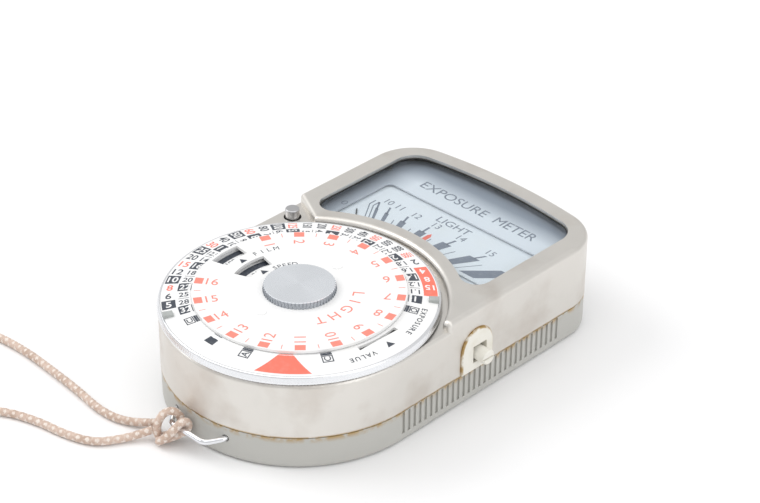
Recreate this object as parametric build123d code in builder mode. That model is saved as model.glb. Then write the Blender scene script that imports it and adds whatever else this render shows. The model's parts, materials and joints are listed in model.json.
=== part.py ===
"""Selenium light meter with a hinged baffle, rotating exposure dial and strap.

Millimetres, +Z up, standing on its back. Origin: on the underside, straight below the dial axis.
+Y runs from the dial to the meter window, +X is the side with the pointer lock.
"""
from build123d import *
import math
import os

os.makedirs("parts", exist_ok=True)

# ---- case ----
half_width = 31.5
top_y = 71.0
crown_radius = 140.0
corner_radius = 12.0
crown_centre = (0.0, top_y - crown_radius)
corner_x = half_width - corner_radius
seam_z = 8.1
seam_gap = 0.25
base_floor = 1.6
base_inset = 0.1
base_wall = 1.7
cover_wall = 0.9
deck_z = 22.0
deck_sheet = 0.9
top_z = 24.2
top_sheet = 0.8
dial_well_radius = 33.0
shoulder_y = 15.0

# ---- meter window ----
window_half = 26.2
window_margin = 4.6
window_arc_radius = 36.6
window_top_corner = 6.0
window_low_corner = 3.8
window_seat = 0.7
glass_z = 22.6
glass_thickness = 0.6
mask_z = 20.9
mask_sheet = 0.4
scale_z = 20.2
scale_sheet = 0.3

# ---- dial ----
rim_radius = 31.7
face_radius = 30.85
disc_radius = 24.0
disc_z = 25.25
disc_sheet = 0.7
film_plate_z = 23.75
film_angle = 184.2
slot_angle = -1.5
rivet_radius = 12.36
rivet_angle = 92.8
bush_radius = 3.0
shaft_radius = 1.5
knob_radius = 8.3
knob_height = 1.55
knob_teeth = 60

# ---- movement ----
pivot_x = -1.5
pivot_y = 16.5
pivot = (pivot_x, pivot_y)
yoke_z = 9.4
yoke_height = 8.0
yoke_radius = 9.5
gap_radius = 7.3
core_radius = 5.0
pointer_rest = 130.4
pointer_length = 30.0
pointer_z = 20.65
zero_x = pivot_x
zero_y = pivot_y - 6.0

# ---- photocell and baffle ----
recess_z = 1.8
pad_z = 3.2
recess_half = 24.6
recess_low_y = 3.6
recess_high_y = 65.4
hinge_y = 34.0
hinge_z = recess_z / 2
cell_y = 50.0
cell_width = 45.2
cell_height = 25.0
baffle_sheet = 0.6
baffle_low_y = 34.6
baffle_high_y = 64.1
baffle_half = 24.3

# ---- side controls ----
button = (-27.7, 24.6)
button_radius = 1.7
lock_y = 24.4
lock_z = 12.25
lock_radius = 1.8
catch_x = -28.6
catch_z = 5.4
lever_pivot_x = -14.0
lever_z = 16.6
lever_y = 29.0

# ---- strap ----
bail_x = 7.8
bail_z = 5.2
bail_radius = 0.65
bail_hole_radius = 0.85
bail_reach_y = -34.6
bail_reach_z = 4.8
bail_reach_x = 5.3
cord_radius = 0.95
coil_centre = (-66.0, -62.5)
coil_inner = 7.4
coil_outer = 15.6

# ---- fasteners ----
case_screw_places = [(-16.0, -18.5), (16.0, -18.5), (-27.9, 58.0), (27.9, 58.0)]
chassis_screw_places = [(-11.0, 24.5), (9.0, 24.5), (-1.5, 4.6)]
bridge_screw_places = [(-13.2, 9.0), (10.2, 9.0)]


def save(piece, label):
    """Name a finished piece and write it."""
    piece.part.label = label
    export_step(piece.part, f"parts/{label}.step")


def polar(radius, angle):
    """Point at a radius and an angle in degrees about the dial axis."""
    return (radius * math.cos(math.radians(angle)), radius * math.sin(math.radians(angle)))


def case_outline(inset):
    """Plan of the case: round at the strap end, crowned at the window end, drawn in from the outside."""
    side = half_width - inset
    corner = corner_radius - inset
    crown = crown_radius - inset
    corner_y = crown_centre[1] + math.sqrt((crown_radius - corner_radius) ** 2 - corner_x**2)
    turn = math.atan2(corner_y - crown_centre[1], corner_x)
    crown_end = (crown * math.cos(turn), crown_centre[1] + crown * math.sin(turn))
    corner_mid = (corner_x + corner * math.cos(turn / 2), corner_y + corner * math.sin(turn / 2))
    with BuildLine() as outline:
        Line((side, 0), (side, corner_y))
        ThreePointArc((side, corner_y), corner_mid, crown_end)
        ThreePointArc(crown_end, (0, top_y - inset), (-crown_end[0], crown_end[1]))
        ThreePointArc((-crown_end[0], crown_end[1]), (-corner_mid[0], corner_mid[1]), (-side, corner_y))
        Line((-side, corner_y), (-side, 0))
        ThreePointArc((-side, 0), (0, -side), (side, 0))
    make_face(outline.edges())


def raised_plan(inset):
    """Plan of the raised window end of the cover, which stops at the dial well and the left notch."""
    case_outline(inset)
    Circle(dial_well_radius + inset, mode=Mode.SUBTRACT)
    with Locations((0, shoulder_y + inset - 60)):
        Rectangle(120, 120, mode=Mode.SUBTRACT)
    with BuildLine() as notch:
        Polyline((-40, 35.4 + inset), (-19, 24.3 + inset), (-19, 0), (-40, 0), close=True)
    make_face(notch.edges(), mode=Mode.SUBTRACT)


def window_plan(grow):
    """Plan of the meter window, grown outward all round."""
    with Locations((0, 48)):
        Rectangle(2 * (window_half + grow), 60)
    with Locations(crown_centre):
        Circle(crown_radius - window_margin + grow, mode=Mode.INTERSECT)
    Circle(window_arc_radius - grow, mode=Mode.SUBTRACT)
    with Locations((0, -30)):
        Rectangle(120, 100, mode=Mode.SUBTRACT)


# ======================================================================== case
with BuildPart() as base_case:
    with BuildSketch():
        case_outline(base_inset)
    extrude(amount=seam_z)
    fillet(base_case.edges().group_by(Axis.Z)[0], radius=1.3)
    with BuildSketch(Plane.XY.offset(base_floor)):
        case_outline(base_wall)
    extrude(amount=seam_z, mode=Mode.SUBTRACT)
    # tongue that fits inside the cover
    with BuildSketch(Plane.XY.offset(seam_z - 1)):
        case_outline(cover_wall + 0.05)
    extrude(amount=2.1)
    with BuildSketch(Plane.XY.offset(base_floor)):
        case_outline(base_wall)
    extrude(amount=12, mode=Mode.SUBTRACT)
    # thick pad around the baffle recess, and the wall that locates the photocell
    with BuildSketch(Plane.XY.offset(0.8)):
        with Locations((0, (2.0 + 67.0) / 2)):
            Rectangle(52.8, 65.0)
    extrude(amount=pad_z - 0.8)
    with BuildSketch(Plane.XY.offset(pad_z)):
        with Locations((0, cell_y)):
            Rectangle(51.2, 31.2)
            Rectangle(48.2, 28.2, mode=Mode.SUBTRACT)
    extrude(amount=4.4)
    with BuildSketch():
        with Locations((0, (recess_low_y + recess_high_y) / 2)):
            Rectangle(2 * recess_half, recess_high_y - recess_low_y)
    extrude(amount=recess_z, mode=Mode.SUBTRACT)
    with BuildSketch():
        with Locations((0, cell_y)):
            Rectangle(cell_width, cell_height)
    extrude(amount=pad_z, mode=Mode.SUBTRACT)
    # gaps in the tongue for the cover's screw posts and the pointer lock
    with Locations((-28.75, 58, seam_z + 1), (28.75, 58, seam_z + 1)):
        Box(5.0, 5.4, 2.0, mode=Mode.SUBTRACT)
    with Locations((30.0, 26.0, seam_z + 1)):
        Box(6.0, 11.0, 2.0, mode=Mode.SUBTRACT)
    # hinge pin holes, zero screw hole, catch slot and its two ears
    with Locations((0, hinge_y, hinge_z)):
        Cylinder(0.4, 52.2, rotation=(0, 90, 0), mode=Mode.SUBTRACT)
    with Locations((zero_x, zero_y, 2.5)):
        Cylinder(2.05, 3.0, mode=Mode.SUBTRACT)
    with Locations((-26.9, 36.2, 1.6)):
        Box(4.8, 2.6, 3.4, mode=Mode.SUBTRACT)
    with Locations((-28.7, 22.2, 4.2), (-28.7, 38.6, 4.2)):
        Box(2.4, 1.2, 5.4)
    with Locations((catch_x, 30.4, catch_z)):
        Cylinder(0.75, 20.0, rotation=(90, 0, 0), mode=Mode.SUBTRACT)
    # bosses for the case screws and pillars for the movement
    with BuildSketch(Plane.XY.offset(0.8)):
        with Locations(*case_screw_places):
            Circle(2.6)
    extrude(amount=seam_z - 0.8)
    with BuildSketch(Plane.XY.offset(pad_z - 0.5)):
        with Locations(*chassis_screw_places):
            Circle(2.2)
    extrude(amount=8.4 - pad_z + 0.5)
    with Locations(*[(x, y, 4.0) for x, y in case_screw_places]):
        Cylinder(1.1, 9.0, mode=Mode.SUBTRACT)
    with Locations(*[(x, y, 0.6) for x, y in case_screw_places]):
        Cylinder(2.05, 1.4, mode=Mode.SUBTRACT)
    with Locations(*[(x, y, 7.0) for x, y in chassis_screw_places]):
        Cylinder(0.8, 3.4, mode=Mode.SUBTRACT)
    # finger ribs: grooves down both sides
    for side in (-1, 1):
        with Locations((side * (half_width + 0.05), 26.4, 5.05)):
            with GridLocations(1, 1.77, 1, 30):
                Box(1.2, 0.85, 5.7, mode=Mode.SUBTRACT)
    # strap bail holes
    for side in (-1, 1):
        with Locations((side * bail_x, -30, bail_z)):
            Cylinder(bail_hole_radius, 5.0, rotation=(90, 0, 0), mode=Mode.SUBTRACT)
save(base_case, "base_case")

with BuildPart() as front_cover:
    with BuildSketch(Plane.XY.offset(seam_z + seam_gap)):
        case_outline(0)
    extrude(amount=deck_z - seam_z - seam_gap)
    fillet(front_cover.edges().group_by(Axis.Z)[-1], radius=0.85)
    with BuildSketch(Plane.XY.offset(deck_z - 8)) as raised:
        raised_plan(0)
        fillet(raised.vertices().filter_by(lambda corner: corner.Y < 36), radius=0.9)
    extrude(amount=top_z - deck_z + 8)
    fillet(front_cover.edges().group_by(Axis.Z)[-1], radius=1.2)
    with BuildSketch(Plane.XY.offset(seam_z)):
        case_outline(cover_wall)
    extrude(amount=deck_z - deck_sheet - seam_z, mode=Mode.SUBTRACT)
    with BuildSketch(Plane.XY.offset(deck_z - deck_sheet - 0.1)):
        raised_plan(1.1)
    extrude(amount=top_z - top_sheet - deck_z + deck_sheet + 0.1, mode=Mode.SUBTRACT)
    with BuildSketch(Plane.XY.offset(glass_z)) as window_cut:
        window_plan(0)
        fillet(window_cut.vertices().sort_by(Axis.Y)[-2:], radius=window_top_corner)
        fillet(window_cut.vertices().sort_by(Axis.Y)[:2], radius=window_low_corner)
    extrude(amount=4, mode=Mode.SUBTRACT)
    # holes for the dial bush, the push button and the pointer lock
    with Locations((0, 0, deck_z)):
        Cylinder(bush_radius, 4, mode=Mode.SUBTRACT)
    with Locations((button[0], button[1], deck_z)):
        Cylinder(2.1, 4, mode=Mode.SUBTRACT)
    with Locations((half_width, lock_y, 12.6)):
        Box(4, 5.6, 6.4, mode=Mode.SUBTRACT)
    # posts that take the case screws
    with BuildSketch(Plane.XY.offset(seam_z + 0.3)):
        with Locations(*case_screw_places[:2]):
            Circle(2.4)
    extrude(amount=deck_z - deck_sheet - seam_z)
    with Locations((-28.75, 58, 14.65), (28.75, 58, 14.65)):
        Box(4.3, 4.4, 12.5)
    with Locations(*[(x, y, 10.4) for x, y in case_screw_places]):
        Cylinder(1.0, 4.2, mode=Mode.SUBTRACT)
save(front_cover, "front_cover")

with BuildPart() as case_screws:
    with BuildSketch(Plane.XY.offset(0.15)):
        with Locations(*case_screw_places):
            Circle(1.95)
    extrude(amount=1.15)
    with BuildSketch(Plane.XY.offset(1.3)):
        with Locations(*case_screw_places):
            Circle(0.98)
    extrude(amount=10.6)
    with Locations(*[(x, y, 0.3) for x, y in case_screw_places]):
        Box(3.2, 0.5, 0.7, mode=Mode.SUBTRACT)
save(case_screws, "case_screws")

with BuildPart() as lock_escutcheon:
    with BuildSketch(Plane.YZ.offset(half_width)):
        with Locations((24.0, 13.9)):
            Circle(5.0)
        with Locations((24.0, 11.15)):
            Rectangle(10.0, 5.5)
    extrude(amount=0.6)
    fillet(lock_escutcheon.edges().group_by(Axis.X)[-1], radius=0.35)
    with BuildSketch(Plane.YZ.offset(half_width - cover_wall)):
        with Locations((lock_y, 12.6)):
            Rectangle(5.5, 6.3)
    extrude(amount=cover_wall)
    with Locations((half_width, lock_y + 0.2, 12.6)):
        Box(4, 4.4, 4.4, mode=Mode.SUBTRACT)
save(lock_escutcheon, "lock_escutcheon")

# ======================================================================== window and scale
with BuildPart() as window_glass:
    with BuildSketch(Plane.XY.offset(glass_z)) as glass_plan:
        window_plan(window_seat)
        fillet(glass_plan.vertices().sort_by(Axis.Y)[-2:], radius=window_top_corner)
        fillet(glass_plan.vertices().sort_by(Axis.Y)[:2], radius=window_low_corner)
    extrude(amount=glass_thickness)
save(window_glass, "window_glass")

with BuildPart() as window_gasket:
    with BuildSketch(Plane.XY.offset(glass_z + glass_thickness)) as gasket_outside:
        window_plan(window_seat)
        fillet(gasket_outside.vertices().sort_by(Axis.Y)[-2:], radius=window_top_corner)
        fillet(gasket_outside.vertices().sort_by(Axis.Y)[:2], radius=window_low_corner)
    extrude(amount=top_z - top_sheet - glass_z - glass_thickness)
    with BuildSketch(Plane.XY.offset(glass_z)) as gasket_inside:
        window_plan(-0.25)
        fillet(gasket_inside.vertices().sort_by(Axis.Y)[-2:], radius=window_top_corner - 0.2)
        fillet(gasket_inside.vertices().sort_by(Axis.Y)[:2], radius=window_low_corner - 0.2)
    extrude(amount=2, mode=Mode.SUBTRACT)
save(window_gasket, "window_gasket")

with BuildPart() as scale_mask:
    with BuildSketch(Plane.XY.offset(mask_z)) as mask_plan:
        with Locations((0, 50.4)):
            Rectangle(57.6, 39.2)
        with Locations(crown_centre):
            Circle(crown_radius - 2.4, mode=Mode.INTERSECT)
        fillet(mask_plan.vertices().sort_by(Axis.Y)[-2:], radius=9)
        Circle(34.6, mode=Mode.SUBTRACT)
        with Locations((0.75, 52.9 - 30)):
            RectangleRounded(47.7, 60, 1.6, mode=Mode.SUBTRACT)
    extrude(amount=mask_sheet)
save(scale_mask, "scale_mask")

with BuildPart() as mask_screws:
    with BuildSketch(Plane.XY.offset(mask_z + mask_sheet)):
        with Locations((-27.6, 57.2), (27.6, 57.2)):
            Circle(1.0)
    extrude(amount=0.4)
save(mask_screws, "mask_screws")

with BuildPart() as scale_plate:
    with BuildSketch(Plane.XY.offset(scale_z)):
        with Locations((0.1, 48.2)):
            RectangleRounded(50.6, 25.4, 0.8)
        with Locations((26.0, 41.5)):
            Rectangle(2.2, 3.0)
    extrude(amount=scale_sheet)
save(scale_plate, "scale_plate")

with BuildPart() as range_link:
    with Locations((26.75, 41.5, 12.1)):
        Box(0.6, 3.0, 16.2)
    with Locations((26.75, 39.6, 4.6)):
        Box(0.6, 5.0, 1.2)
save(range_link, "range_link")

# ======================================================================== dial
with BuildPart() as dial_base:
    with BuildSketch(Plane.XY.offset(deck_z)):
        Circle(26.5)
        Circle(8.2, mode=Mode.SUBTRACT)
    extrude(amount=0.45)
save(dial_base, "dial_base")

with BuildPart() as dial_bush:
    with BuildSketch(Plane.XY.offset(19.6)):
        Circle(bush_radius)
    extrude(amount=5.0)
    with BuildSketch(Plane.XY.offset(deck_z)):
        Circle(5.9)
    extrude(amount=0.6)
    with Locations((0, 0, 22)):
        Cylinder(shaft_radius + 0.05, 8, mode=Mode.SUBTRACT)
save(dial_bush, "dial_bush")

with BuildPart() as dial_nut:
    with BuildSketch(Plane.XY.offset(deck_z - deck_sheet - 1.3)):
        RegularPolygon(4.6, 6)
        Circle(bush_radius, mode=Mode.SUBTRACT)
    extrude(amount=1.3)
save(dial_nut, "dial_nut")

with BuildPart() as dial_face:
    with BuildSketch(Plane.XZ):
        with BuildLine():
            Polyline(
                (23.3, 24.35), (24.4, 24.35), (face_radius, 23.5), (face_radius, 24.2), (24.4, 25.05),
                (23.3, 25.05), close=True
            )
        make_face()
    revolve(axis=Axis.Z)
    with BuildSketch(Plane.XY.offset(24)):
        with BuildLine():
            Polyline(
                polar(24.7, slot_angle - 12.8), polar(25.9, slot_angle - 12.8), polar(25.9, slot_angle + 12.8),
                polar(24.7, slot_angle + 12.8)
            )
            ThreePointArc(
                polar(24.7, slot_angle + 12.8), polar(24.7, slot_angle), polar(24.7, slot_angle - 12.8)
            )
        make_face()
    extrude(amount=3, both=True, mode=Mode.SUBTRACT)
save(dial_face, "dial_face")

with BuildPart() as dial_rim:
    with BuildSketch(Plane.XZ):
        with BuildLine():
            Polyline(
                (face_radius, 22.5), (rim_radius, 22.5), (rim_radius, 22.95), (31.3, 24.1), (31.1, 24.2),
                (face_radius, 24.2), close=True
            )
        make_face()
    revolve(axis=Axis.Z)
save(dial_rim, "dial_rim")

with BuildPart() as dial_lugs:
    for angle in (-119.4, 40.0):
        with Locations(Location((*polar(29.85, angle), 24.72), (0, 0, angle))):
            Box(2.3, 1.7, 0.9)
    chamfer(dial_lugs.edges().group_by(Axis.Z)[-1], length=0.15)
    with BuildSketch(Plane.XZ):
        with BuildLine():
            Polyline((24.4, 20), (24.4, 25.05), (face_radius, 24.2), (40, 24.2), (40, 20), close=True)
        make_face()
    revolve(axis=Axis.Z, mode=Mode.SUBTRACT)
save(dial_lugs, "dial_lugs")

with BuildPart() as film_disc:
    with BuildSketch(Plane.XY.offset(film_plate_z)):
        Circle(disc_radius)
        Circle(9.2, mode=Mode.SUBTRACT)
    extrude(amount=24.35 - film_plate_z)
save(film_disc, "film_disc")

with BuildPart() as ev_disc:
    with BuildSketch(Plane.XY.offset(22.75)):
        Circle(27.5)
        Circle(8.8, mode=Mode.SUBTRACT)
    extrude(amount=0.45)
save(ev_disc, "ev_disc")

with BuildPart() as dial_hub:
    with BuildSketch(Plane.XY.offset(22.75)):
        Circle(8.8)
    extrude(amount=disc_z - 22.75)
    with BuildSketch(Plane.XY.offset(24.75)):
        with Locations(Location((0, 0, 0), (0, 0, rivet_angle))):
            SlotOverall(30, 5.4)
    extrude(amount=disc_z - 24.75)
    with Locations((0, 0, 24)):
        Cylinder(bush_radius + 0.08, 6, mode=Mode.SUBTRACT)
save(dial_hub, "dial_hub")

with BuildPart() as light_disc:
    with BuildSketch(Plane.XY.offset(disc_z)):
        Circle(disc_radius)
        Circle(shaft_radius, mode=Mode.SUBTRACT)
        for radius, depth, half_turn in ((21.2, 4.0, 10.3), (14.05, 4.1, 17.5)):
            inner = radius - depth / 2
            outer = radius + depth / 2
            with BuildLine():
                Line(polar(inner, film_angle - half_turn), polar(outer, film_angle - half_turn))
                ThreePointArc(
                    polar(outer, film_angle - half_turn), polar(outer, film_angle),
                    polar(outer, film_angle + half_turn)
                )
                Line(polar(outer, film_angle + half_turn), polar(inner, film_angle + half_turn))
                ThreePointArc(
                    polar(inner, film_angle + half_turn), polar(inner, film_angle),
                    polar(inner, film_angle - half_turn)
                )
            make_face(mode=Mode.SUBTRACT)
        with Locations(polar(rivet_radius, rivet_angle), polar(rivet_radius, rivet_angle + 180)):
            Circle(0.8, mode=Mode.SUBTRACT)
    extrude(amount=disc_sheet)
    chamfer(light_disc.edges().filter_by(GeomType.CIRCLE).sort_by(SortBy.RADIUS)[-1], length=0.12)
save(light_disc, "light_disc")

with BuildPart() as dial_rivets:
    for angle in (rivet_angle, rivet_angle + 180):
        with Locations((*polar(rivet_radius, angle), disc_z + disc_sheet / 2)):
            Cylinder(0.8, disc_sheet)
        with Locations((*polar(rivet_radius, angle), disc_z + disc_sheet + 0.08)):
            Cylinder(1.15, 0.16)
save(dial_rivets, "dial_rivets")

with BuildPart() as centre_knob:
    with BuildSketch(Plane.XY.offset(disc_z + disc_sheet)):
        Circle(knob_radius)
        with PolarLocations(knob_radius + 0.05, knob_teeth):
            Rectangle(0.5, 0.42, mode=Mode.SUBTRACT)
    extrude(amount=knob_height, taper=9)
    with Locations((0, 0, disc_z + disc_sheet)):
        Cylinder(shaft_radius, 1.4, mode=Mode.SUBTRACT)
save(centre_knob, "centre_knob")

with BuildPart() as knob_shaft:
    with BuildSketch(Plane.XY.offset(18.6)):
        Circle(shaft_radius)
    extrude(amount=disc_z + disc_sheet + 0.7 - 18.6)
save(knob_shaft, "knob_shaft")

with BuildPart() as shaft_clip:
    with BuildSketch(Plane.XY.offset(18.9)):
        Circle(3.1)
        Circle(shaft_radius, mode=Mode.SUBTRACT)
    extrude(amount=0.5)
save(shaft_clip, "shaft_clip")

# ======================================================================== movement
with BuildPart() as meter_chassis:
    with BuildSketch(Plane.XY.offset(8.4)):
        with Locations((-1.25, 15.4)):
            RectangleRounded(28.5, 25.6, 1.5)
        with Locations((-14.0, 27.5)):
            Rectangle(3.0, 7.6)
        with Locations(pivot):
            Circle(gap_radius, mode=Mode.SUBTRACT)
        with Locations(*chassis_screw_places):
            Circle(0.8, mode=Mode.SUBTRACT)
    extrude(amount=1.0)
    with BuildSketch(Plane.XY.offset(9.4)):
        with Locations(*bridge_screw_places):
            Circle(1.8)
    extrude(amount=10.2)
    with Locations((-14.0, 30.7, 13.7)):
        Box(3.0, 1.2, 8.6)
    with Locations(*[(x, y, 18.4) for x, y in bridge_screw_places]):
        Cylinder(0.6, 2.4, mode=Mode.SUBTRACT)
    with Locations((lever_pivot_x, 30.7, lever_z)):
        Cylinder(0.6, 3, rotation=(90, 0, 0), mode=Mode.SUBTRACT)
save(meter_chassis, "meter_chassis")

with BuildPart() as chassis_screws:
    with BuildSketch(Plane.XY.offset(9.4)):
        with Locations(*chassis_screw_places):
            Circle(1.5)
    extrude(amount=0.8)
    with BuildSketch(Plane.XY.offset(5.6)):
        with Locations(*chassis_screw_places):
            Circle(0.78)
    extrude(amount=3.8)
    with Locations(*[(x, y, 10.1) for x, y in chassis_screw_places]):
        Box(2.6, 0.4, 0.5, mode=Mode.SUBTRACT)
save(chassis_screws, "chassis_screws")

with BuildPart() as movement_yoke:
    with BuildSketch(Plane.XY.offset(yoke_z)):
        with Locations(pivot):
            Circle(yoke_radius)
            Circle(gap_radius, mode=Mode.SUBTRACT)
    extrude(amount=yoke_height)
save(movement_yoke, "movement_yoke")

with BuildPart() as movement_magnet:
    with BuildSketch(Plane.XY.offset(9.6)):
        with Locations(pivot):
            Circle(core_radius)
    extrude(amount=7.7)
    with BuildSketch(Plane.XY.offset(17.3)):
        with Locations((pivot_x - 3.6, pivot_y), (pivot_x + 3.6, pivot_y)):
            Circle(0.8)
    extrude(amount=2.3)
save(movement_magnet, "movement_magnet")

with BuildPart() as upper_bridge:
    with BuildSketch(Plane.XY.offset(19.6)):
        with Locations((pivot_x, pivot_y)):
            SlotOverall(10.6, 3.4)
        with Locations((pivot_x, 12.0)):
            Rectangle(3.0, 9.0)
        with Locations((pivot_x, 9.0)):
            SlotOverall(26.4, 3.0)
        with Locations(pivot):
            Circle(0.9, mode=Mode.SUBTRACT)
        with Locations(*bridge_screw_places):
            Circle(0.6, mode=Mode.SUBTRACT)
    extrude(amount=0.7)
save(upper_bridge, "upper_bridge")

with BuildPart() as bridge_screws:
    with BuildSketch(Plane.XY.offset(20.3)):
        with Locations(*bridge_screw_places):
            Circle(1.2)
    extrude(amount=0.55)
    with BuildSketch(Plane.XY.offset(17.6)):
        with Locations(*bridge_screw_places):
            Circle(0.58)
    extrude(amount=2.7)
save(bridge_screws, "bridge_screws")

with BuildPart() as lower_bridge:
    with BuildSketch(Plane.XY.offset(6.0)):
        with Locations(pivot):
            Rectangle(23.0, 4.4)
            Circle(0.9, mode=Mode.SUBTRACT)
    extrude(amount=0.8)
    with Locations((pivot_x - 10.2, pivot_y, 7.6), (pivot_x + 10.2, pivot_y, 7.6)):
        Box(2.6, 4.4, 1.6)
save(lower_bridge, "lower_bridge")

with BuildPart() as jewel_screws:
    with BuildSketch(Plane.XY.offset(19.75)):
        with Locations(pivot):
            Circle(0.9)
    extrude(amount=1.15)
    with BuildSketch(Plane.XY.offset(5.2)):
        with Locations(pivot):
            Circle(0.9)
    extrude(amount=2.5)
    with Locations((*pivot, 19.95), (*pivot, 7.5)):
        Cylinder(0.27, 0.5, mode=Mode.SUBTRACT)
save(jewel_screws, "jewel_screws")

coil_plane = Plane(origin=(*pivot, 0), x_dir=(math.cos(math.radians(pointer_rest)),
                   math.sin(math.radians(pointer_rest)), 0), z_dir=(0, 0, 1))
coil_side = Plane(origin=coil_plane.origin, x_dir=coil_plane.x_dir, z_dir=-coil_plane.y_dir)
with BuildPart() as moving_coil:
    with BuildSketch(coil_side):
        with Locations((0, 13.45)):
            RectangleRounded(13.6, 9.5, 0.9)
            RectangleRounded(11.0, 8.3, 0.5, mode=Mode.SUBTRACT)
    extrude(amount=0.9, both=True)
save(moving_coil, "moving_coil")

with BuildPart() as pivot_staffs:
    with BuildSketch(Plane.XY.offset(18.2)):
        with Locations(pivot):
            Circle(0.45)
    extrude(amount=1.5)
    with BuildSketch(Plane.XY.offset(19.7)):
        with Locations(pivot):
            Circle(0.2)
    extrude(amount=0.3)
    with BuildSketch(Plane.XY.offset(7.8)):
        with Locations(pivot):
            Circle(0.45)
    extrude(amount=0.9)
    with BuildSketch(Plane.XY.offset(7.4)):
        with Locations(pivot):
            Circle(0.2)
    extrude(amount=0.4)
save(pivot_staffs, "pivot_staffs")

with BuildPart() as pointer:
    with BuildSketch(coil_plane.offset(19.0)):
        Circle(1.1)
        with Locations((5.0, 0)):
            Rectangle(10.0, 0.6)
        with Locations((-2.2, 0)):
            Rectangle(3.2, 0.6)
        Circle(0.45, mode=Mode.SUBTRACT)
    extrude(amount=0.3)
    with BuildSketch(coil_plane.offset(19.0)):
        with Locations((9.85, 0)):
            Rectangle(0.3, 0.6)
    extrude(amount=pointer_z + 0.15 - 19.0)
    with BuildSketch(coil_plane.offset(pointer_z)):
        with BuildLine():
            Polyline(
                (9.7, -0.3), (pointer_length, -0.14), (pointer_length, 0.14), (9.7, 0.3), close=True
            )
        make_face()
    extrude(amount=0.15)
    with BuildSketch(coil_plane.offset(18.95)):
        with Locations((-3.6, 0)):
            Circle(0.75)
    extrude(amount=0.4)
save(pointer, "pointer")

hairspring_turns = 4
hairspring_points = [
    (
        pivot_x + (0.62 + 0.4 * step / 12) * math.cos(step * math.pi / 6),
        pivot_y + (0.62 + 0.4 * step / 12) * math.sin(step * math.pi / 6),
    )
    for step in range(12 * hairspring_turns + 1)
]
for label, height in (("upper_hairspring", 18.5), ("lower_hairspring", 8.0)):
    with BuildPart() as hairspring:
        with BuildSketch(Plane.XY.offset(height)):
            with BuildLine():
                Spline(*hairspring_points)
            trace(line_width=0.12)
            with Locations(pivot):
                Circle(0.7)
                Circle(0.45, mode=Mode.SUBTRACT)
        extrude(amount=0.25)
    save(hairspring, label)

with BuildPart() as series_resistor:
    with Locations((-13.4, 16.0, 10.75)):
        Cylinder(1.3, 6.0, rotation=(90, 0, 0))
        Cylinder(0.3, 8.0, rotation=(90, 0, 0))
save(series_resistor, "series_resistor")

with BuildPart() as zero_screw:
    with Locations((zero_x, zero_y, 2.5)):
        Cylinder(2.0, 1.3)
    with Locations((zero_x, zero_y, 3.6)):
        Cylinder(2.7, 0.7)
    with Locations((zero_x, zero_y, 4.7)):
        Cylinder(0.9, 4.4)
    with Locations((zero_x, zero_y - 0.6, 7.2)):
        Cylinder(0.35, 0.7)
    with Locations((zero_x, zero_y, 1.9)):
        Box(3.4, 0.5, 0.9, mode=Mode.SUBTRACT)
save(zero_screw, "zero_screw")

with BuildPart() as zero_arm:
    with BuildSketch(Plane.XY.offset(7.0)):
        with Locations(pivot):
            Circle(2.0)
        with Locations((pivot_x, pivot_y - 4.0)):
            Rectangle(1.8, 7.4)
        with Locations(pivot):
            Circle(0.96, mode=Mode.SUBTRACT)
        with Locations((pivot_x, zero_y - 0.6)):
            Rectangle(0.8, 2.2, mode=Mode.SUBTRACT)
    extrude(amount=0.4)
save(zero_arm, "zero_arm")

# ======================================================================== pointer lock
with BuildPart() as lock_slider:
    with BuildSketch(Plane.YZ.offset(30.0)):
        with Locations((lock_y + 0.2, lock_z)):
            Circle(lock_radius)
    extrude(amount=4.9)
    chamfer(lock_slider.edges().group_by(Axis.X)[-1], length=0.25)
    with Locations((34.9, lock_y + 0.2, lock_z)):
        Box(0.9, 5, 0.45, mode=Mode.SUBTRACT)
    with Locations((29.7, lock_y + 0.2, lock_z)):
        Box(0.9, 6.0, 5.8)
    with Locations((27.9, 26.8, lock_z), (27.4, lever_y, 14.3)):
        Box(3.0, 2.4, 2.4)
    with Locations((27.4, lever_y, 13.6)):
        Box(3.0, 2.4, 4.6)
save(lock_slider, "lock_slider")

with BuildPart() as lock_lever:
    with BuildSketch(Plane.XZ.offset(-(lever_y - 0.6))):
        with Locations(((lever_pivot_x + 28.6) / 2, lever_z)):
            SlotOverall(28.6 - lever_pivot_x + 1.6, 1.2)
        with Locations((lever_pivot_x, lever_z)):
            Circle(1.3)
    extrude(amount=-1.2)
    with BuildSketch(Plane.XY.offset(17.0)):
        with Locations((pivot_x, 28.8)):
            Rectangle(3.0, 0.8)
    extrude(amount=3.2)
    with BuildSketch(Plane.XY.offset(19.9)):
        with Locations(pivot):
            Circle(12.5)
            Circle(11.0, mode=Mode.SUBTRACT)
        with Locations((pivot_x, pivot_y - 12)):
            Rectangle(40, 41, mode=Mode.SUBTRACT)
    extrude(amount=0.3)
    with Locations((lever_pivot_x, lever_y, lever_z)):
        Cylinder(0.66, 6, rotation=(90, 0, 0), mode=Mode.SUBTRACT)
save(lock_lever, "lock_lever")

with BuildPart() as lever_pin:
    with Locations((lever_pivot_x, 29.6, lever_z)):
        Cylinder(0.6, 3.4, rotation=(90, 0, 0))
save(lever_pin, "lever_pin")

# ======================================================================== push button and catch
with BuildPart() as release_button:
    with Locations((*button, 22.0)):
        Cylinder(button_radius, 4.8)
    fillet(release_button.edges().group_by(Axis.Z)[-1], radius=0.3)
    with Locations((*button, 19.2)):
        Cylinder(2.5, 0.8)
    with Locations((*button, 13.2)):
        Cylinder(0.9, 11.6)
    with Locations((-27.0, button[1], 7.25)):
        Box(2.0, 1.6, 0.7)
    with Locations((-26.3, button[1], 6.85)):
        Box(0.6, 1.6, 1.4)
save(release_button, "release_button")

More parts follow.
